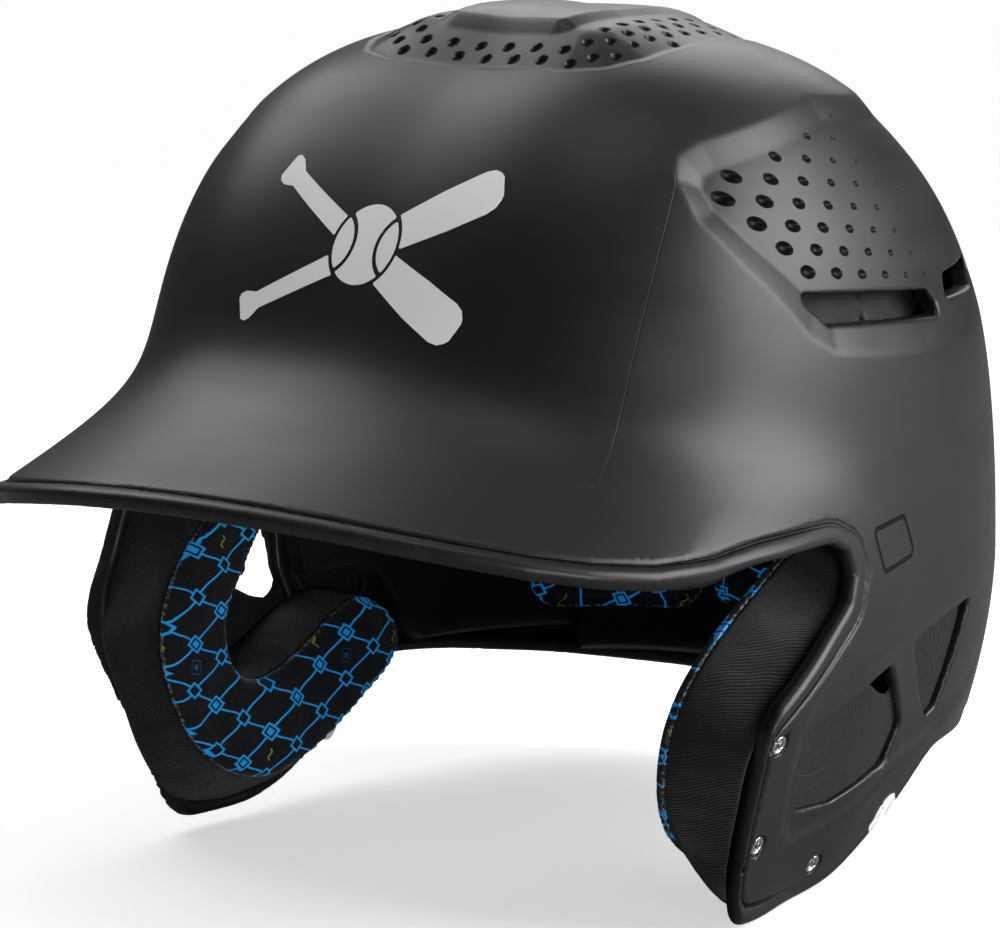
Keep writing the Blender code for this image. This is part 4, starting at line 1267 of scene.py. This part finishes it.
def knit_material(name, shade):
    """Black ribbed knit; fab holds (along the outline, across the depth) in mm. A shade below 1
    darkens the knit with its sheen and specular, as painted shade.
    """
    g = Graph(name)
    fab = g.attr("fab", "Vector")
    s, t, _ = g.split(fab)
    c = g.coords()
    sway = (g.noise(fab, scale=0.045) - 0.5) * 5.0
    line = s + t * 0.22 + sway
    rib = g.sine(line * (TURN / 0.95))
    rows = g.floor(line / 0.475)
    loop = g.sine(t * (TURN / 0.8) + rows * math.pi)
    stitch = (rib + loop * 0.55) * 0.5
    fuzz = g.noise(c, scale=3000, roughness=0.7)
    speck = g.step(g.noise(c, scale=1900, detail=1.0, roughness=0.85), 0.67, 0.73)
    base = g.mix(g.step(stitch, -0.5, 0.75), (0.0035, 0.0038, 0.0040), (0.017, 0.0185, 0.0195))
    base = g.mix(speck * 0.35, base, (0.10, 0.13, 0.14))
    # painted shade: a shade below 1 mixes the knit towards near black
    base = g.mix(shade, (0.0012, 0.0012, 0.0013), base)
    height = stitch + fuzz * 0.35
    return g.finish(Base_Color=base, Roughness=0.86,
                    Normal=g.bump(height, strength=0.75, distance=0.0003),
                    Sheen_Weight=0.22 * shade, Sheen_Roughness=0.5,
                    Specular_IOR_Level=0.3 * shade)


SHELL = shell_material()
DECAL = decal_material()
ZINC = zinc_material()
FOAM = foam_material("liner_foam_skin", dark=(0.0045, 0.0045, 0.0048),
                     light=(0.0105, 0.0105, 0.0112), roughness=0.50, bead=330, bead_relief=0.25)
CORE = foam_material("open_cell_core_foam", dark=(0.022, 0.022, 0.024),
                     light=(0.034, 0.034, 0.036), roughness=0.85, bead=900, bead_relief=0.7)
EAR_PRINT = print_material("printed_ear_fabric", first=(14.0, 6.8), second=(10.0, -5.75),
                           origin=(-24.4, 25.2), edge_width=0.12)
PAD_PRINT = print_material("printed_pad_fabric", first=(11.2, 4.2), second=(-3.4, 12.0),
                           origin=(2.0, 31.0), edge_width=0.45)
KNIT = knit_material("ribbed_knit_gusset", shade=1.0)
# painted shade: the backing knit is the gusset's knit darkened, with less sheen and specular
BACK_KNIT = knit_material("painted_shade_backing_knit", shade=0.55)

# ================================================================ shell object
# Parting line on the left: height, angle from the front.
PARTING_Z = [120, 126.7, 133.5, 149.1, 155.6, 165.5, 175.8, 185.9, 192]
PARTING_ANGLES = [38.6, 40.44, 41.74, 44.0, 45.0, 46.76, 48.86, 51.51, 53.3]
DIMPLE_SINK = 0.75        # share of the dimples' depth that the mesh takes


def make_shell():
    verts, tris, normals = build_shell()
    x, y, z = verts.T
    edge = trim_distance(verts)
    holes = np.minimum.reduce([shape(y, z) for shape in
                               (window_front, window_rear, slot_front, slot_rear)])
    holes = np.where(np.abs(x) > 60, holes, 50.0)
    face = outer_distance(verts) + large_relief(verts) > -2.4
    deg = degrees_from_front(x, y)
    seam = np.interp(z, PARTING_Z, PARTING_ANGLES)
    side_mask, crown_mask = dimple_masks(verts)
    attributes = {
        "edge": np.maximum(smooth(-3.0, -0.3, edge), smooth(1.6, 0.3, np.abs(holes))),
        "rimdist": np.where(face, edge, -60.0),
        "brimzone": 1 - smooth(62, 80, deg),
        "badge": np.where(face & (np.abs(x) > 60), badge_shape(y, z), 30.0),
        "parting": np.where(face & (x > 0) & (z > 119) & (z < 195), (deg - seam) * 1.75, 30.0),
        "side_dimples": np.where(face, side_mask, 0),
        "crown_dimples": np.where(face, crown_mask, 0),
    }
    sunk = SIDE_DIMPLES.depth * side_mask * dimple_depth(SIDE_DIMPLES, y, z)
    sunk += CROWN_DIMPLES.depth * crown_mask * dimple_depth(CROWN_DIMPLES, x, y)
    verts = verts - normals * (DIMPLE_SINK * sunk * face)[:, None]
    make("helmet_shell", verts, tris, SHELL, normals=normals, node="outer_shell", slot="shell",
         attributes=attributes)


make_shell()

# ================================================================ threaded inserts
# Flange of an insert from its outer wall to its bore: radius, height along the axis.
INSERT_PROFILE = [(2.85, -4.2), (2.85, -0.55), (2.80, -0.25), (2.60, -0.05), (2.30, 0.0),
                  (2.05, -0.08), (1.92, -0.28)]
INSERT_SINK = 0.35
INSERT_BOTTOM = (1.75, -4.2)
THREAD = SimpleNamespace(radius=1.72, depth=0.20, pitch=0.8, top=-0.4, length=3.7, steps=26)


def threaded_insert(name, centre, axis, sign, segments=48):
    around = np.arange(segments) * TURN / segments
    rows = [(np.full(segments, r), h) for r, h in INSERT_PROFILE]
    for i in range(THREAD.steps + 1):
        h = THREAD.top - THREAD.length * i / THREAD.steps
        wave = np.abs(((h / THREAD.pitch * TURN + around) / math.pi) % 2 - 1)
        rows.append((THREAD.radius + THREAD.depth * wave, h))
    rows.append((np.full(segments, INSERT_BOTTOM[0]), INSERT_BOTTOM[1]))
    x = np.cross([0, 0, 1], axis)
    x /= np.linalg.norm(x)
    y = np.cross(axis, x)
    verts = [centre + (r * np.cos(around))[:, None] * x + (r * np.sin(around))[:, None] * y
             + (h - INSERT_SINK) * axis for r, h in rows]
    make(name + "_fine", np.concatenate(verts) * [sign, 1, 1],
         wrapped_grid(len(rows), segments), ZINC, node=name, slot="zinc", sharp=38)


for label, (centre, axis) in INSERT_AXES.items():
    for side, sign in SIDES:
        threaded_insert(f"threaded_insert_{label}_{side}", centre, axis, sign)

# ================================================================ emblem films
FILM_TOP, FILM_BOTTOM = 0.22, -0.25   # above the shell's surface
# Bat silhouette: position along its length from the knob (0 to 1), half width.
BAT_STATIONS = [0, 0.012, 0.035, 0.055, 0.075, 0.35, 0.6, 0.8, 0.94, 0.972, 0.992, 1.0]
BAT_HALF_WIDTHS = [2.8, 3.7, 3.7, 3.0, 2.2, 2.7, 4.2, 5.4, 5.6, 5.0, 3.6, 2.4]
BAT_LENGTH, BAT_TILT, BATS_Z, FRONT_BALL_Z = 80.0, 27, 172, 173


def film(name, flat, drop, node):
    """Thin film over a flat region; drop(points, lift) puts it on the shell."""
    p, quads, loops = flat
    n = len(p)
    faces = [quads, quads[:, ::-1] + n] + [strip(loop, loop + n) for loop in loops]
    rim = np.zeros(n)
    for loop in loops:
        rim[loop] = 1
    make(name, np.concatenate([drop(p, FILM_TOP), drop(p, FILM_BOTTOM)]),
         np.concatenate(faces), DECAL, attributes={"rim": np.concatenate([rim, rim])},
         node=node, slot="decal", sharp=50)


def ball_distance(u, v, ball, seam_offset, seam_radius, seam_half):
    """Ball with two curved seams cut out."""
    seam = np.minimum(np.abs(np.hypot(u - seam_offset, v) - seam_radius),
                      np.abs(np.hypot(u + seam_offset, v) - seam_radius)) - seam_half
    return np.maximum(np.hypot(u, v) - ball, -seam)


def bat_distance(x, z, angle):
    """Bat silhouette, knob at the lower end."""
    ca, sa = math.cos(angle), math.sin(angle)
    u = (x * ca + (z - BATS_Z) * sa) / BAT_LENGTH + 0.5
    w = -x * sa + (z - BATS_Z) * ca
    side = np.abs(w) - np.interp(u, BAT_STATIONS, BAT_HALF_WIDTHS)
    return np.maximum(side, np.maximum(-u, u - 1) * BAT_LENGTH)


def front_emblem_distance(x, z):
    """Two crossed bats with a ball over their middle."""
    a = bat_distance(x, z, math.radians(BAT_TILT))
    b = bat_distance(x, z, math.radians(-BAT_TILT))
    b = np.maximum(b, -(a - 1.1))     # a thin gap where the second bat passes behind
    v = z - FRONT_BALL_Z
    bats = np.maximum(np.minimum(a, b), 11.2 - np.hypot(x, v))
    return np.minimum(bats, ball_distance(x, v, ball=10.0, seam_offset=12.2, seam_radius=8.4,
                                          seam_half=0.65))


def flap_emblem_distance(y, z):
    return ball_distance(y - 15.5, z - 7.5, ball=6.4, seam_offset=7.6, seam_radius=5.2,
                         seam_half=0.38)


def drop_on_front(p, lift):
    """Front-view (x, z) points put on the outer surface."""
    x, z = p[:, 0], p[:, 1]
    y = np.full(len(x), -100.0)
    for _ in range(60):
        r = radius(np.arctan2(x, -y), z)
        y = -np.sqrt(np.maximum(r * r - x * x, 1.0))
    points = np.stack([x, y, z], 1)
    return points + normals_of(points, outer_distance, 0.4) * lift


def drop_on_side(sign):
    def drop(p, lift):
        y, z = p[:, 0], p[:, 1]
        points = project(np.stack([side_x(y, z), y, z], 1), shell_distance)
        return (points + normals_of(points, shell_distance, 0.2) * lift) * [sign, 1, 1]
    return drop


film("front_emblem_film", plate(front_emblem_distance, (-46, 146), (46, 198), 0.42),
     drop_on_front, "front_emblem")
for side, sign in SIDES:
    film(f"flap_emblem_film_{side}", plate(flap_emblem_distance, (8, 0), (23, 15), 0.45),
         drop_on_side(sign), f"flap_emblem_{side}")

# ================================================================ liner
LINER_OUTER, LINER_INNER = 4.7, 13.7          # depths under the outer surface
BAND_FILLET, BAND_BACK_FILLET = 2.6, 1.2
BAND_STEP, BAND_MARGIN = 5.0, 6.0             # grid pitch, and the finer strip at the edges


def spaced(length):
    """Positions from 0 to 1, closer together near both ends."""
    ends = [0, 0.25, 0.7, 1.2, 2.4, 4.08]
    count = max(2, int((length - 2 * BAND_MARGIN) / BAND_STEP)) + 1
    inner = list(np.linspace(BAND_MARGIN, length - BAND_MARGIN, count))
    return np.array(ends + inner + [length - q for q in reversed(ends)]) / length


def liner_high(deg):
    return dome_z(np.radians(deg), 0.55)


def liner_side_low(deg):
    a = np.abs(deg)
    return 101 - 50 * smooth(91.8, 95.0, a) - 27 * smooth(107.5, 119, a)


def level(value):
    return lambda deg: np.full(np.shape(deg), float(value))


def foam_band(name, deg0, deg1, low, step_angle=None):
    """Curved foam slab with rounded edges between two angles.

    low gives its lower edge; step_angle asks for finer columns where that edge steps."""
    width = abs(math.radians(deg1 - deg0)) * 100
    columns = spaced(width)
    if step_angle:
        mark = (step_angle - abs(deg0)) / (abs(deg1) - abs(deg0))
        far = np.abs(columns - mark - 0.012) > 0.03
        columns = np.unique(np.concatenate([columns[far],
                                            mark + np.linspace(-0.025, 0.05, 13)]))
    middle = np.array([(deg0 + deg1) / 2])
    tall = float(liner_high(middle)[0] - low(middle)[0]) * 1.15
    T, S = np.meshgrid(columns, spaced(tall), indexing="ij")
    deg = deg0 + (deg1 - deg0) * T
    bottom = low(deg)
    z = bottom + (liner_high(deg) - bottom) * S
    d = np.minimum(np.minimum(T, 1 - T) * width, np.minimum(S, 1 - S) * tall)
    # shallow channels that run up the inner face
    channel = np.exp(-(((deg + 720) % 17.0 - 8.5) / 0.75)**2)
    channel = 1.3 * channel * smooth(4, 9, d) * smooth(96, 110, z)
    angle = np.radians(deg)
    near = under_surface(angle, z, LINER_OUTER)
    slots = np.minimum(slot_front(near[..., 1], near[..., 2]),
                       slot_rear(near[..., 1], near[..., 2]))
    pocket = 7.0 * smooth(6.0, 2.0, slots)                # the foam stands back behind the slots
    a = under_surface(angle, z,
                      LINER_OUTER + BAND_BACK_FILLET * rounding(d, BAND_BACK_FILLET) + pocket)
    b = under_surface(angle, z, LINER_INNER - BAND_FILLET * rounding(d, BAND_FILLET) - channel)
    n = T.size
    index = np.arange(n).reshape(T.shape)
    quads = np.stack([index[:-1, :-1], index[1:, :-1], index[1:, 1:], index[:-1, 1:]],
                     -1).reshape(-1, 4)
    rim = np.concatenate([index[:, 0], index[-1, 1:], index[-2::-1, -1], index[0, -2:0:-1]])
    following = np.roll(rim, -1)
    wall = np.stack([rim, rim + n, following + n, following], 1)
    make(name + "_foam", np.concatenate([a.reshape(-1, 3), b.reshape(-1, 3)]),
         np.concatenate([quads, quads[:, ::-1] + n, wall]), FOAM, node=name, slot="liner_foam")


foam_band("liner_front", -56.2, 56.2, level(131))
for side, sign in SIDES:
    foam_band(f"liner_side_{side}", sign * 58.4, sign * 146, liner_side_low, step_angle=92.0)
foam_band("liner_rear", 147.8, 212.2, level(16.5))


def dome_disc(name, edge, outer, inner, fillet, material, node, slot):
    """Domed disc under the crown between two depths, with a rounded rim.

    edge is its radius as a share of the dome's. Also returns a mask of the lower side and
    the distances from the rim."""
    segments = 72
    ks = np.concatenate([[0.0], np.linspace(0.08, 0.9, 14), [0.94, 0.97, 0.985, 0.995, 1.0]])
    K, T = np.meshgrid(ks, np.arange(segments) * TURN / segments, indexing="ij")
    share = edge * K
    d = (1 - K) * edge * 112
    cut = fillet * rounding(d, fillet)
    z = dome_z(T, share)
    r = plan_radius(T) * share
    x, y = r * np.sin(T) * 0.985, -r * np.cos(T) * 0.985
    top, low = (np.stack([x, y, height], -1).reshape(-1, 3)
                for height in (z - outer - cut * 0.4, z - inner + cut))
    n = K.size
    index = np.arange(n).reshape(K.shape)
    quads = np.stack([index[1:-1], np.roll(index[1:-1], -1, 1), np.roll(index[2:], -1, 1),
                      index[2:]], -1).reshape(-1, 4)
    tip = np.stack([np.full(segments, 0), index[1], np.roll(index[1], -1)], 1)
    ring = index[-1]
    wall = np.stack([ring, np.roll(ring, -1), np.roll(ring, -1) + n, ring + n], 1)
    faces = [np.concatenate([quads[:, ::-1], quads + n, wall]),
             np.concatenate([tip[:, ::-1], tip + n])]
    used = np.ones(2 * n, bool)                           # one vertex at each centre
    used[1:segments] = used[n + 1:n + segments] = False
    renumber = np.cumsum(used) - 1
    fab = np.stack([r * np.sin(T), r * np.cos(T), r * 0], -1).reshape(-1, 3)
    inset = np.concatenate([d.ravel()] * 2)[used]
    obj = make(name, np.concatenate([top, low])[used], [renumber[f] for f in faces], material,
               node=node, slot=slot,
               attributes={"fab": np.concatenate([fab, fab])[used], "inset": inset})
    return obj, (np.arange(2 * n) >= n)[used], inset


dome_disc("liner_crown_foam", edge=0.50, outer=4.6, inner=13.6, fillet=3.0, material=FOAM,
          node="liner_crown", slot="liner_foam")
crown_pad, lower_side, crown_inset = dome_disc(
    "crown_pad_soft", edge=0.36, outer=15.0, inner=21.0, fillet=4.0, material=PAD_PRINT,
    node="crown_pad", slot="pad_print")
soften(crown_pad, ~(lower_side & (crown_inset > 2.5)), cap=4.0, pressure=4.0, shrink=-0.03)

# ================================================================ comfort pads
# name, sign of x, angles from the front, heights, corner radius
COMFORT_PADS = [
    ("rear_pad_right", -1, (139, 168), (29, 76), 9.0),
    ("rear_pad_left", 1, (139, 168), (29, 76), 9.0),
    ("rear_pad_center", 1, (170, 190), (31, 76), 8.0),
    ("temple_pad_left", 1, (60, 98), (112, 140), 8.0),
    ("temple_pad_right", -1, (60, 98), (112, 140), 8.0),
    ("forehead_pad", 1, (-40, 40), (136, 162), 8.0),
]
MM_PER_DEGREE = 1.75
PAD_BACK, PAD_FLANGE, PAD_THICKNESS = 14.1, 15.2, 7.2     # two depths and the puff


def comfort_pad(name, sign, angles, heights, corner):
    """Fabric-faced foam pad with a thin flange."""
    middle = sum(angles) / 2
    half = (angles[1] - angles[0]) / 2 * MM_PER_DEGREE
    low, high = heights

    def distance(u, v):
        a = np.abs(u) - (half - corner)
        b = np.abs(v - (low + high) / 2) - ((high - low) / 2 - corner)
        return (np.hypot(np.maximum(a, 0), np.maximum(b, 0))
                + np.minimum(np.maximum(a, b), 0) - corner)

    def place(u, v, depth):
        return under_surface(np.radians(middle + u / MM_PER_DEGREE), v, depth)

    def front(u, v):
        d = -distance(u, v)
        t = np.clip((d - 1.6) / 7.5, 0, 1)
        puff = np.sqrt(np.maximum(1 - (1 - t)**2, 0))
        return PAD_FLANGE + PAD_THICKNESS * puff * 0.82 - 0.5 * np.exp(-((d - 1.8) / 0.7)**2)
    flat = plate(distance, (-half - 3, low - 3), (half + 3, high + 3), 2.0)
    inset = -distance(flat[0][:, 0], flat[0][:, 1])
    obj = cushion(name + "_soft", flat, place, front, level2(PAD_BACK),
                  [(0.35, 0.15), (0.7, 0.1)], PAD_PRINT, sign, inset, rim_inset=0.2,
                  node=name, slot="pad_print")
    soften_front(obj, inset, seam=2.0, cap=3.0, pressure=3.5, shrink=-0.025)


def level2(value):
    """Constant function of two coordinates."""
    return lambda u, v: np.full(np.shape(u), float(value))


for pad in COMFORT_PADS:
    comfort_pad(*pad)

# ================================================================ ear pads
# Closed (y, z) outlines: the printed face, and where the knit wall meets each flap.
EAR_NOTCH = [(17, 46.5), (5, 44.5), (-9, 38.5), (-24, 33.5), (-36, 32), (-45, 35.5)]
EAR_FRONT = [(-48.5, 43.5), (-46, 53), (-37.5, 62), (-28, 71), (-17, 79), (-8, 85)]
EAR_OUTLINE = [(-18, 95), (-32, 89), (-46, 81), (-59, 72), (-70, 61), (-75, 50), (-75.5, 40),
               (-72.5, 28), (-65.5, 17), (-54, 8.5), (-38, 4.5), (-22, 6.5), (-5, 12), (12, 19),
               (25, 25), (31, 33), (27.5, 41.5)] + EAR_NOTCH + EAR_FRONT + [(-8.5, 92)]
EAR_SEAT = {
    "left": [(-14, 96), (-25, 91), (-27.5, 80.5), (-40, 70), (-60, 57.8), (-71.5, 49.5),
             (-72.5, 41), (-68.5, 29), (-65, 16), (-61, 2), (-52, -4), (-34, -5.5),
             (-12, -4.5), (6, 2.5), (22, 13), (31, 24), (29, 38)] + EAR_NOTCH + [
             (-48.5, 43), (-44, 50), (-33, 58), (-22, 67), (-12, 78), (-6, 85), (-7, 92)],
    "right": [(-22, 97), (-38, 95), (-52, 90), (-57, 77), (-66, 60), (-72.5, 50), (-73.5, 40),
              (-73, 28), (-71.5, 16), (-64, 2.5), (-50, -2.5), (-30, -2), (-10, 2.5), (8, 10),
              (22, 17), (31, 27), (29, 38)] + EAR_NOTCH + EAR_FRONT + [(-12, 93)],
}
GUSSET_COLUMNS, GUSSET_ROWS, GUSSET_THICKNESS = 360, 16, 1.5
RUMPLE_SEED = {"left": 0.9, "right": 2.3}
# Backing of the ear opening, (y, z).
BACKING = [(-54, 20), (-44, 10), (-20, 9), (8, 17), (30, 24), (50, 34), (56, 50), (55, 68),
           (46, 78), (4.2, 78), (4.2, 50), (0, 46.5), (-6, 48), (-20, 56), (-40, 62), (-54, 54)]

ear_shape = side_shape(even_loops(GUSSET_COLUMNS, EAR_OUTLINE)[0][0][::2])


def ear_face_x(z):
    """x of the ear pad's face, which leans outwards with height."""
    return 75.0 + 0.2 * (z - 10)


def ear_face(side, sign):
    def place(y, z, w):
        return np.stack([ear_face_x(z) + w, y, z], -1)

    def front(y, z):
        d = np.maximum(-ear_shape(y, z), 0)
        return 3.4 * rounding(d, 4.2) - 1.6 * smooth(1, 13, d)
    flat = plate(ear_shape, (-80, 0), (36, 100), 1.7)
    inset = np.maximum(-ear_shape(flat[0][:, 0], flat[0][:, 1]), 0)
    obj = cushion(f"ear_pad_face_{side}_soft", flat, place, front, level2(4.0), [(0.5, 0.05)],
                  EAR_PRINT, sign, inset, node=f"ear_pad_face_{side}", slot="pad_print")
    soften_front(obj, inset, seam=3.0, cap=3.2, pressure=4.0, shrink=-0.03)


def rumple(s, t, seed):
    """Soft irregular folds along the outline, a few millimetres long."""
    a = np.sin(s * 0.31 + 1.7 * np.sin(s * 0.073 + seed)) * 0.45
    b = np.sin(s * 0.83 + 2.1 * np.sin(s * 0.19 + 2 * seed)) * 0.28
    c = np.sin(s * 1.9 + 1.3 * np.sin(s * 0.41 + seed)) * 0.12
    return (a + b * (1 - 0.5 * t) + c) * np.sin(np.pi * t)**0.8


def ear_gusset(side, sign):
    """Knit wall between the face's seam and the flap; returns the line where it is seated."""
    (line, seat), length = even_loops(GUSSET_COLUMNS, EAR_OUTLINE, EAR_SEAT[side])
    for _ in range(12):                                   # smoothed so that the wall runs fair
        seat = 0.5 * seat + 0.25 * (np.roll(seat, 1, 0) + np.roll(seat, -1, 0))
    out = outward(line)
    s = np.arange(GUSSET_COLUMNS) * length / GUSSET_COLUMNS
    seat_x = side_x(seat[:, 0], seat[:, 1]) - 4.6
    face_x = ear_face_x(line[:, 1]) + 4.15
    layers = []
    for shift in (0.0, -GUSSET_THICKNESS):
        rows = []
        for t in np.linspace(0, 1, GUSSET_ROWS + 1):
            swell = (0.9 * math.sin(math.pi * t) + 0.28 * rumple(s, t, RUMPLE_SEED[side])
                     - 0.6 * math.exp(-(t / 0.04)**2)) + shift
            spread = 1 - (1 - t)**1.35                    # flares at the face, then runs straight
            yz = line + (seat - line) * spread + out * swell[:, None]
            rows.append(np.column_stack([face_x + (seat_x - face_x) * t, yz]))
        layers.append(np.array(rows))
    outer, inner = layers
    ring = np.concatenate([outer, inner[::-1]])           # rows around the closed section
    depth = np.linalg.norm(np.diff(outer, axis=0), axis=2)
    run = np.concatenate([np.zeros((1, GUSSET_COLUMNS)), np.cumsum(depth, 0)])
    fab = np.stack([np.broadcast_to(s, run.shape), run, run * 0], -1)
    fab = np.concatenate([fab, fab[::-1]]).reshape(-1, 3)
    obj = make(f"ear_pad_gusset_{side}_knit", ring.reshape(-1, 3) * [sign, 1, 1],
               wrapped_grid(len(ring), GUSSET_COLUMNS), KNIT, attributes={"fab": fab},
               node=f"ear_pad_gusset_{side}", slot="knit")
    pinned = np.ones(ring.shape[:2], bool)
    pinned[2:GUSSET_ROWS - 1] = False
    soften(obj, pinned.ravel(), cap=1.6, pressure=1.2, shrink=-0.02)
    return seat


def ear_core(side, sign, seat):
    """Foam core between the face and the flap."""
    seat_shape = side_shape(seat[::2])

    def distance(y, z):
        return np.maximum(ear_shape(y, z), seat_shape(y, z)) + 3.0

    def place(y, z, w):
        x0, x1 = ear_face_x(z) + 4.4, side_x(y, z) - 12.0
        return np.stack([x0 + (x1 - x0) * w, y, z], -1)
    cushion(f"ear_pad_core_{side}_foam", plate(distance, (-80, -12), (36, 100), 2.4), place,
            level2(0), level2(1), [(q, 0.0) for q in (0.02, 0.25, 0.5, 0.75, 0.98)], CORE, sign,
            node=f"ear_pad_core_{side}", slot="core_foam")


def ear_backing(side, sign):
    """Black knit behind the ear opening, darkened further as painted shade."""
    def place(y, z, w):
        return np.stack([side_x(y, z) - w, y, z], -1)
    flat = plate(side_shape(BACKING, 2.0), (-58, 5), (60, 82), 2.4)
    cushion(f"ear_pad_gusset_{side}_backing", flat, place, level2(4.6), level2(4.1),
            [(0.5, 0.1)], BACK_KNIT, sign, slot="knit")


for side, sign in SIDES:
    ear_face(side, sign)
    ear_core(side, sign, ear_gusset(side, sign))
for side, sign in SIDES:
    ear_backing(side, sign)

inflate_all()


# ================================================================ floor, lights, camera
def floor_material():
    """Pale matt floor; it looks brighter to the camera than the light it sends back up."""
    g = Graph("studio_floor")
    c = g.coords()
    cloud = g.noise(c, scale=3)
    far = g.step(g.node("ShaderNodeVectorMath", {0: c}, "Value", operation="LENGTH"), 0.45, 1.3)
    seen = g.node("ShaderNodeLightPath", output="Is Camera Ray")
    base = g.mix(far, g.mix(cloud, (0.87, 0.87, 0.87), (0.90, 0.90, 0.90)), (0.0, 0.0, 0.0))
    return g.finish(Base_Color=g.mix(seen, (0.30, 0.30, 0.30), base), Roughness=0.85,
                    Specular_IOR_Level=0.0, Emission_Color=(1.0, 1.0, 1.0),
                    Emission_Strength=seen * (0.58 + far * 0.40))


def make_floor(size=30, z=-0.0006, segments=64):
    """Round floor, metres, just under the helmet."""
    around = np.arange(segments) * TURN / segments
    verts = [(0, 0, z)] + [(size * math.cos(a), size * math.sin(a), z) for a in around]
    faces = [(0, 1 + i, 1 + (i + 1) % segments) for i in range(segments)]
    mesh = bpy.data.meshes.new("floor")
    mesh.from_pydata(verts, [], faces)
    mesh.materials.append(floor_material())
    floor = bpy.data.objects.new("studio_floor", mesh)
    bpy.context.scene.collection.objects.link(floor)


def direction(azimuth, elevation):
    """Unit vector from the helmet; azimuth runs from the front towards +X, in degrees."""
    a, e = math.radians(azimuth), math.radians(elevation)
    return Vector((math.sin(a) * math.cos(e), -math.cos(a) * math.cos(e), math.sin(e)))


LIGHT_TARGET = (0, 0, 0.12)
# name, azimuth and elevation in degrees, distance, width and height in metres, power in watts
LIGHTS = [
    ("soft_right", 118, 24, 1.7, 1.5, 1.3, 40),
    ("soft_left", -104, 44, 1.7, 1.1, 1.0, 9),
    ("soft_top", 10, 86, 1.6, 0.8, 0.8, 2),
    ("front_fill", 64, -2, 1.9, 0.8, 0.6, 16),
    ("soft_back", 205, 30, 1.9, 1.1, 1.0, 8),
]


def area_light(name, azimuth, elevation, distance, width, height, power):
    data = bpy.data.lights.new(name, "AREA")
    data.shape = "RECTANGLE"
    data.size, data.size_y = width, height
    data.energy = power
    back = direction(azimuth, elevation)
    obj = bpy.data.objects.new(name, data)
    obj.location = Vector(LIGHT_TARGET) + back * distance
    obj.rotation_mode = "QUATERNION"
    obj.rotation_quaternion = (-back).to_track_quat("-Z", "Y")
    bpy.context.scene.collection.objects.link(obj)


def make_world():
    """Dim grey surroundings that the camera sees as white."""
    world = bpy.data.worlds.new("studio_world")
    bpy.context.scene.world = world
    world.use_nodes = True
    nodes, links = world.node_tree.nodes, world.node_tree.links
    dim = nodes["Background"]
    white = nodes.new("ShaderNodeBackground")
    for node, grey, strength in ((dim, 0.9, 0.10), (white, 0.98, 1.0)):
        node.inputs["Color"].default_value = (grey, grey, grey, 1)
        node.inputs["Strength"].default_value = strength
    path = nodes.new("ShaderNodeLightPath")
    choose = nodes.new("ShaderNodeMixShader")
    links.new(path.outputs["Is Camera Ray"], choose.inputs[0])
    links.new(dim.outputs[0], choose.inputs[1])
    links.new(white.outputs[0], choose.inputs[2])
    links.new(choose.outputs[0], nodes["World Output"].inputs["Surface"])


def make_camera(azimuth, elevation, distance, target):
    data = bpy.data.cameras.new("camera")
    data.sensor_width = 36.0
    data.lens = 4.931 * 36.0          # focal length as a multiple of the sensor's width
    data.shift_x = -0.0625
    data.shift_y = -0.0382
    data.clip_start, data.clip_end = 0.05, 100
    camera = bpy.data.objects.new("camera", data)
    bpy.context.scene.collection.objects.link(camera)
    back = direction(azimuth, elevation)
    a = math.radians(azimuth)
    right = Vector((math.cos(a), math.sin(a), 0))
    camera.rotation_mode = "QUATERNION"
    axes = Matrix((right, back.cross(right), back)).transposed()
    camera.rotation_quaternion = axes.to_quaternion()
    camera.location = Vector(target) + back * distance
    bpy.context.scene.camera = camera


make_floor()
for light in LIGHTS:
    area_light(*light)
make_world()
bpy.context.scene.view_settings.view_transform = "Standard"
make_camera(azimuth=34.6, elevation=10.44, distance=1.4, target=(0, DOME_Y * MM, 0.120))
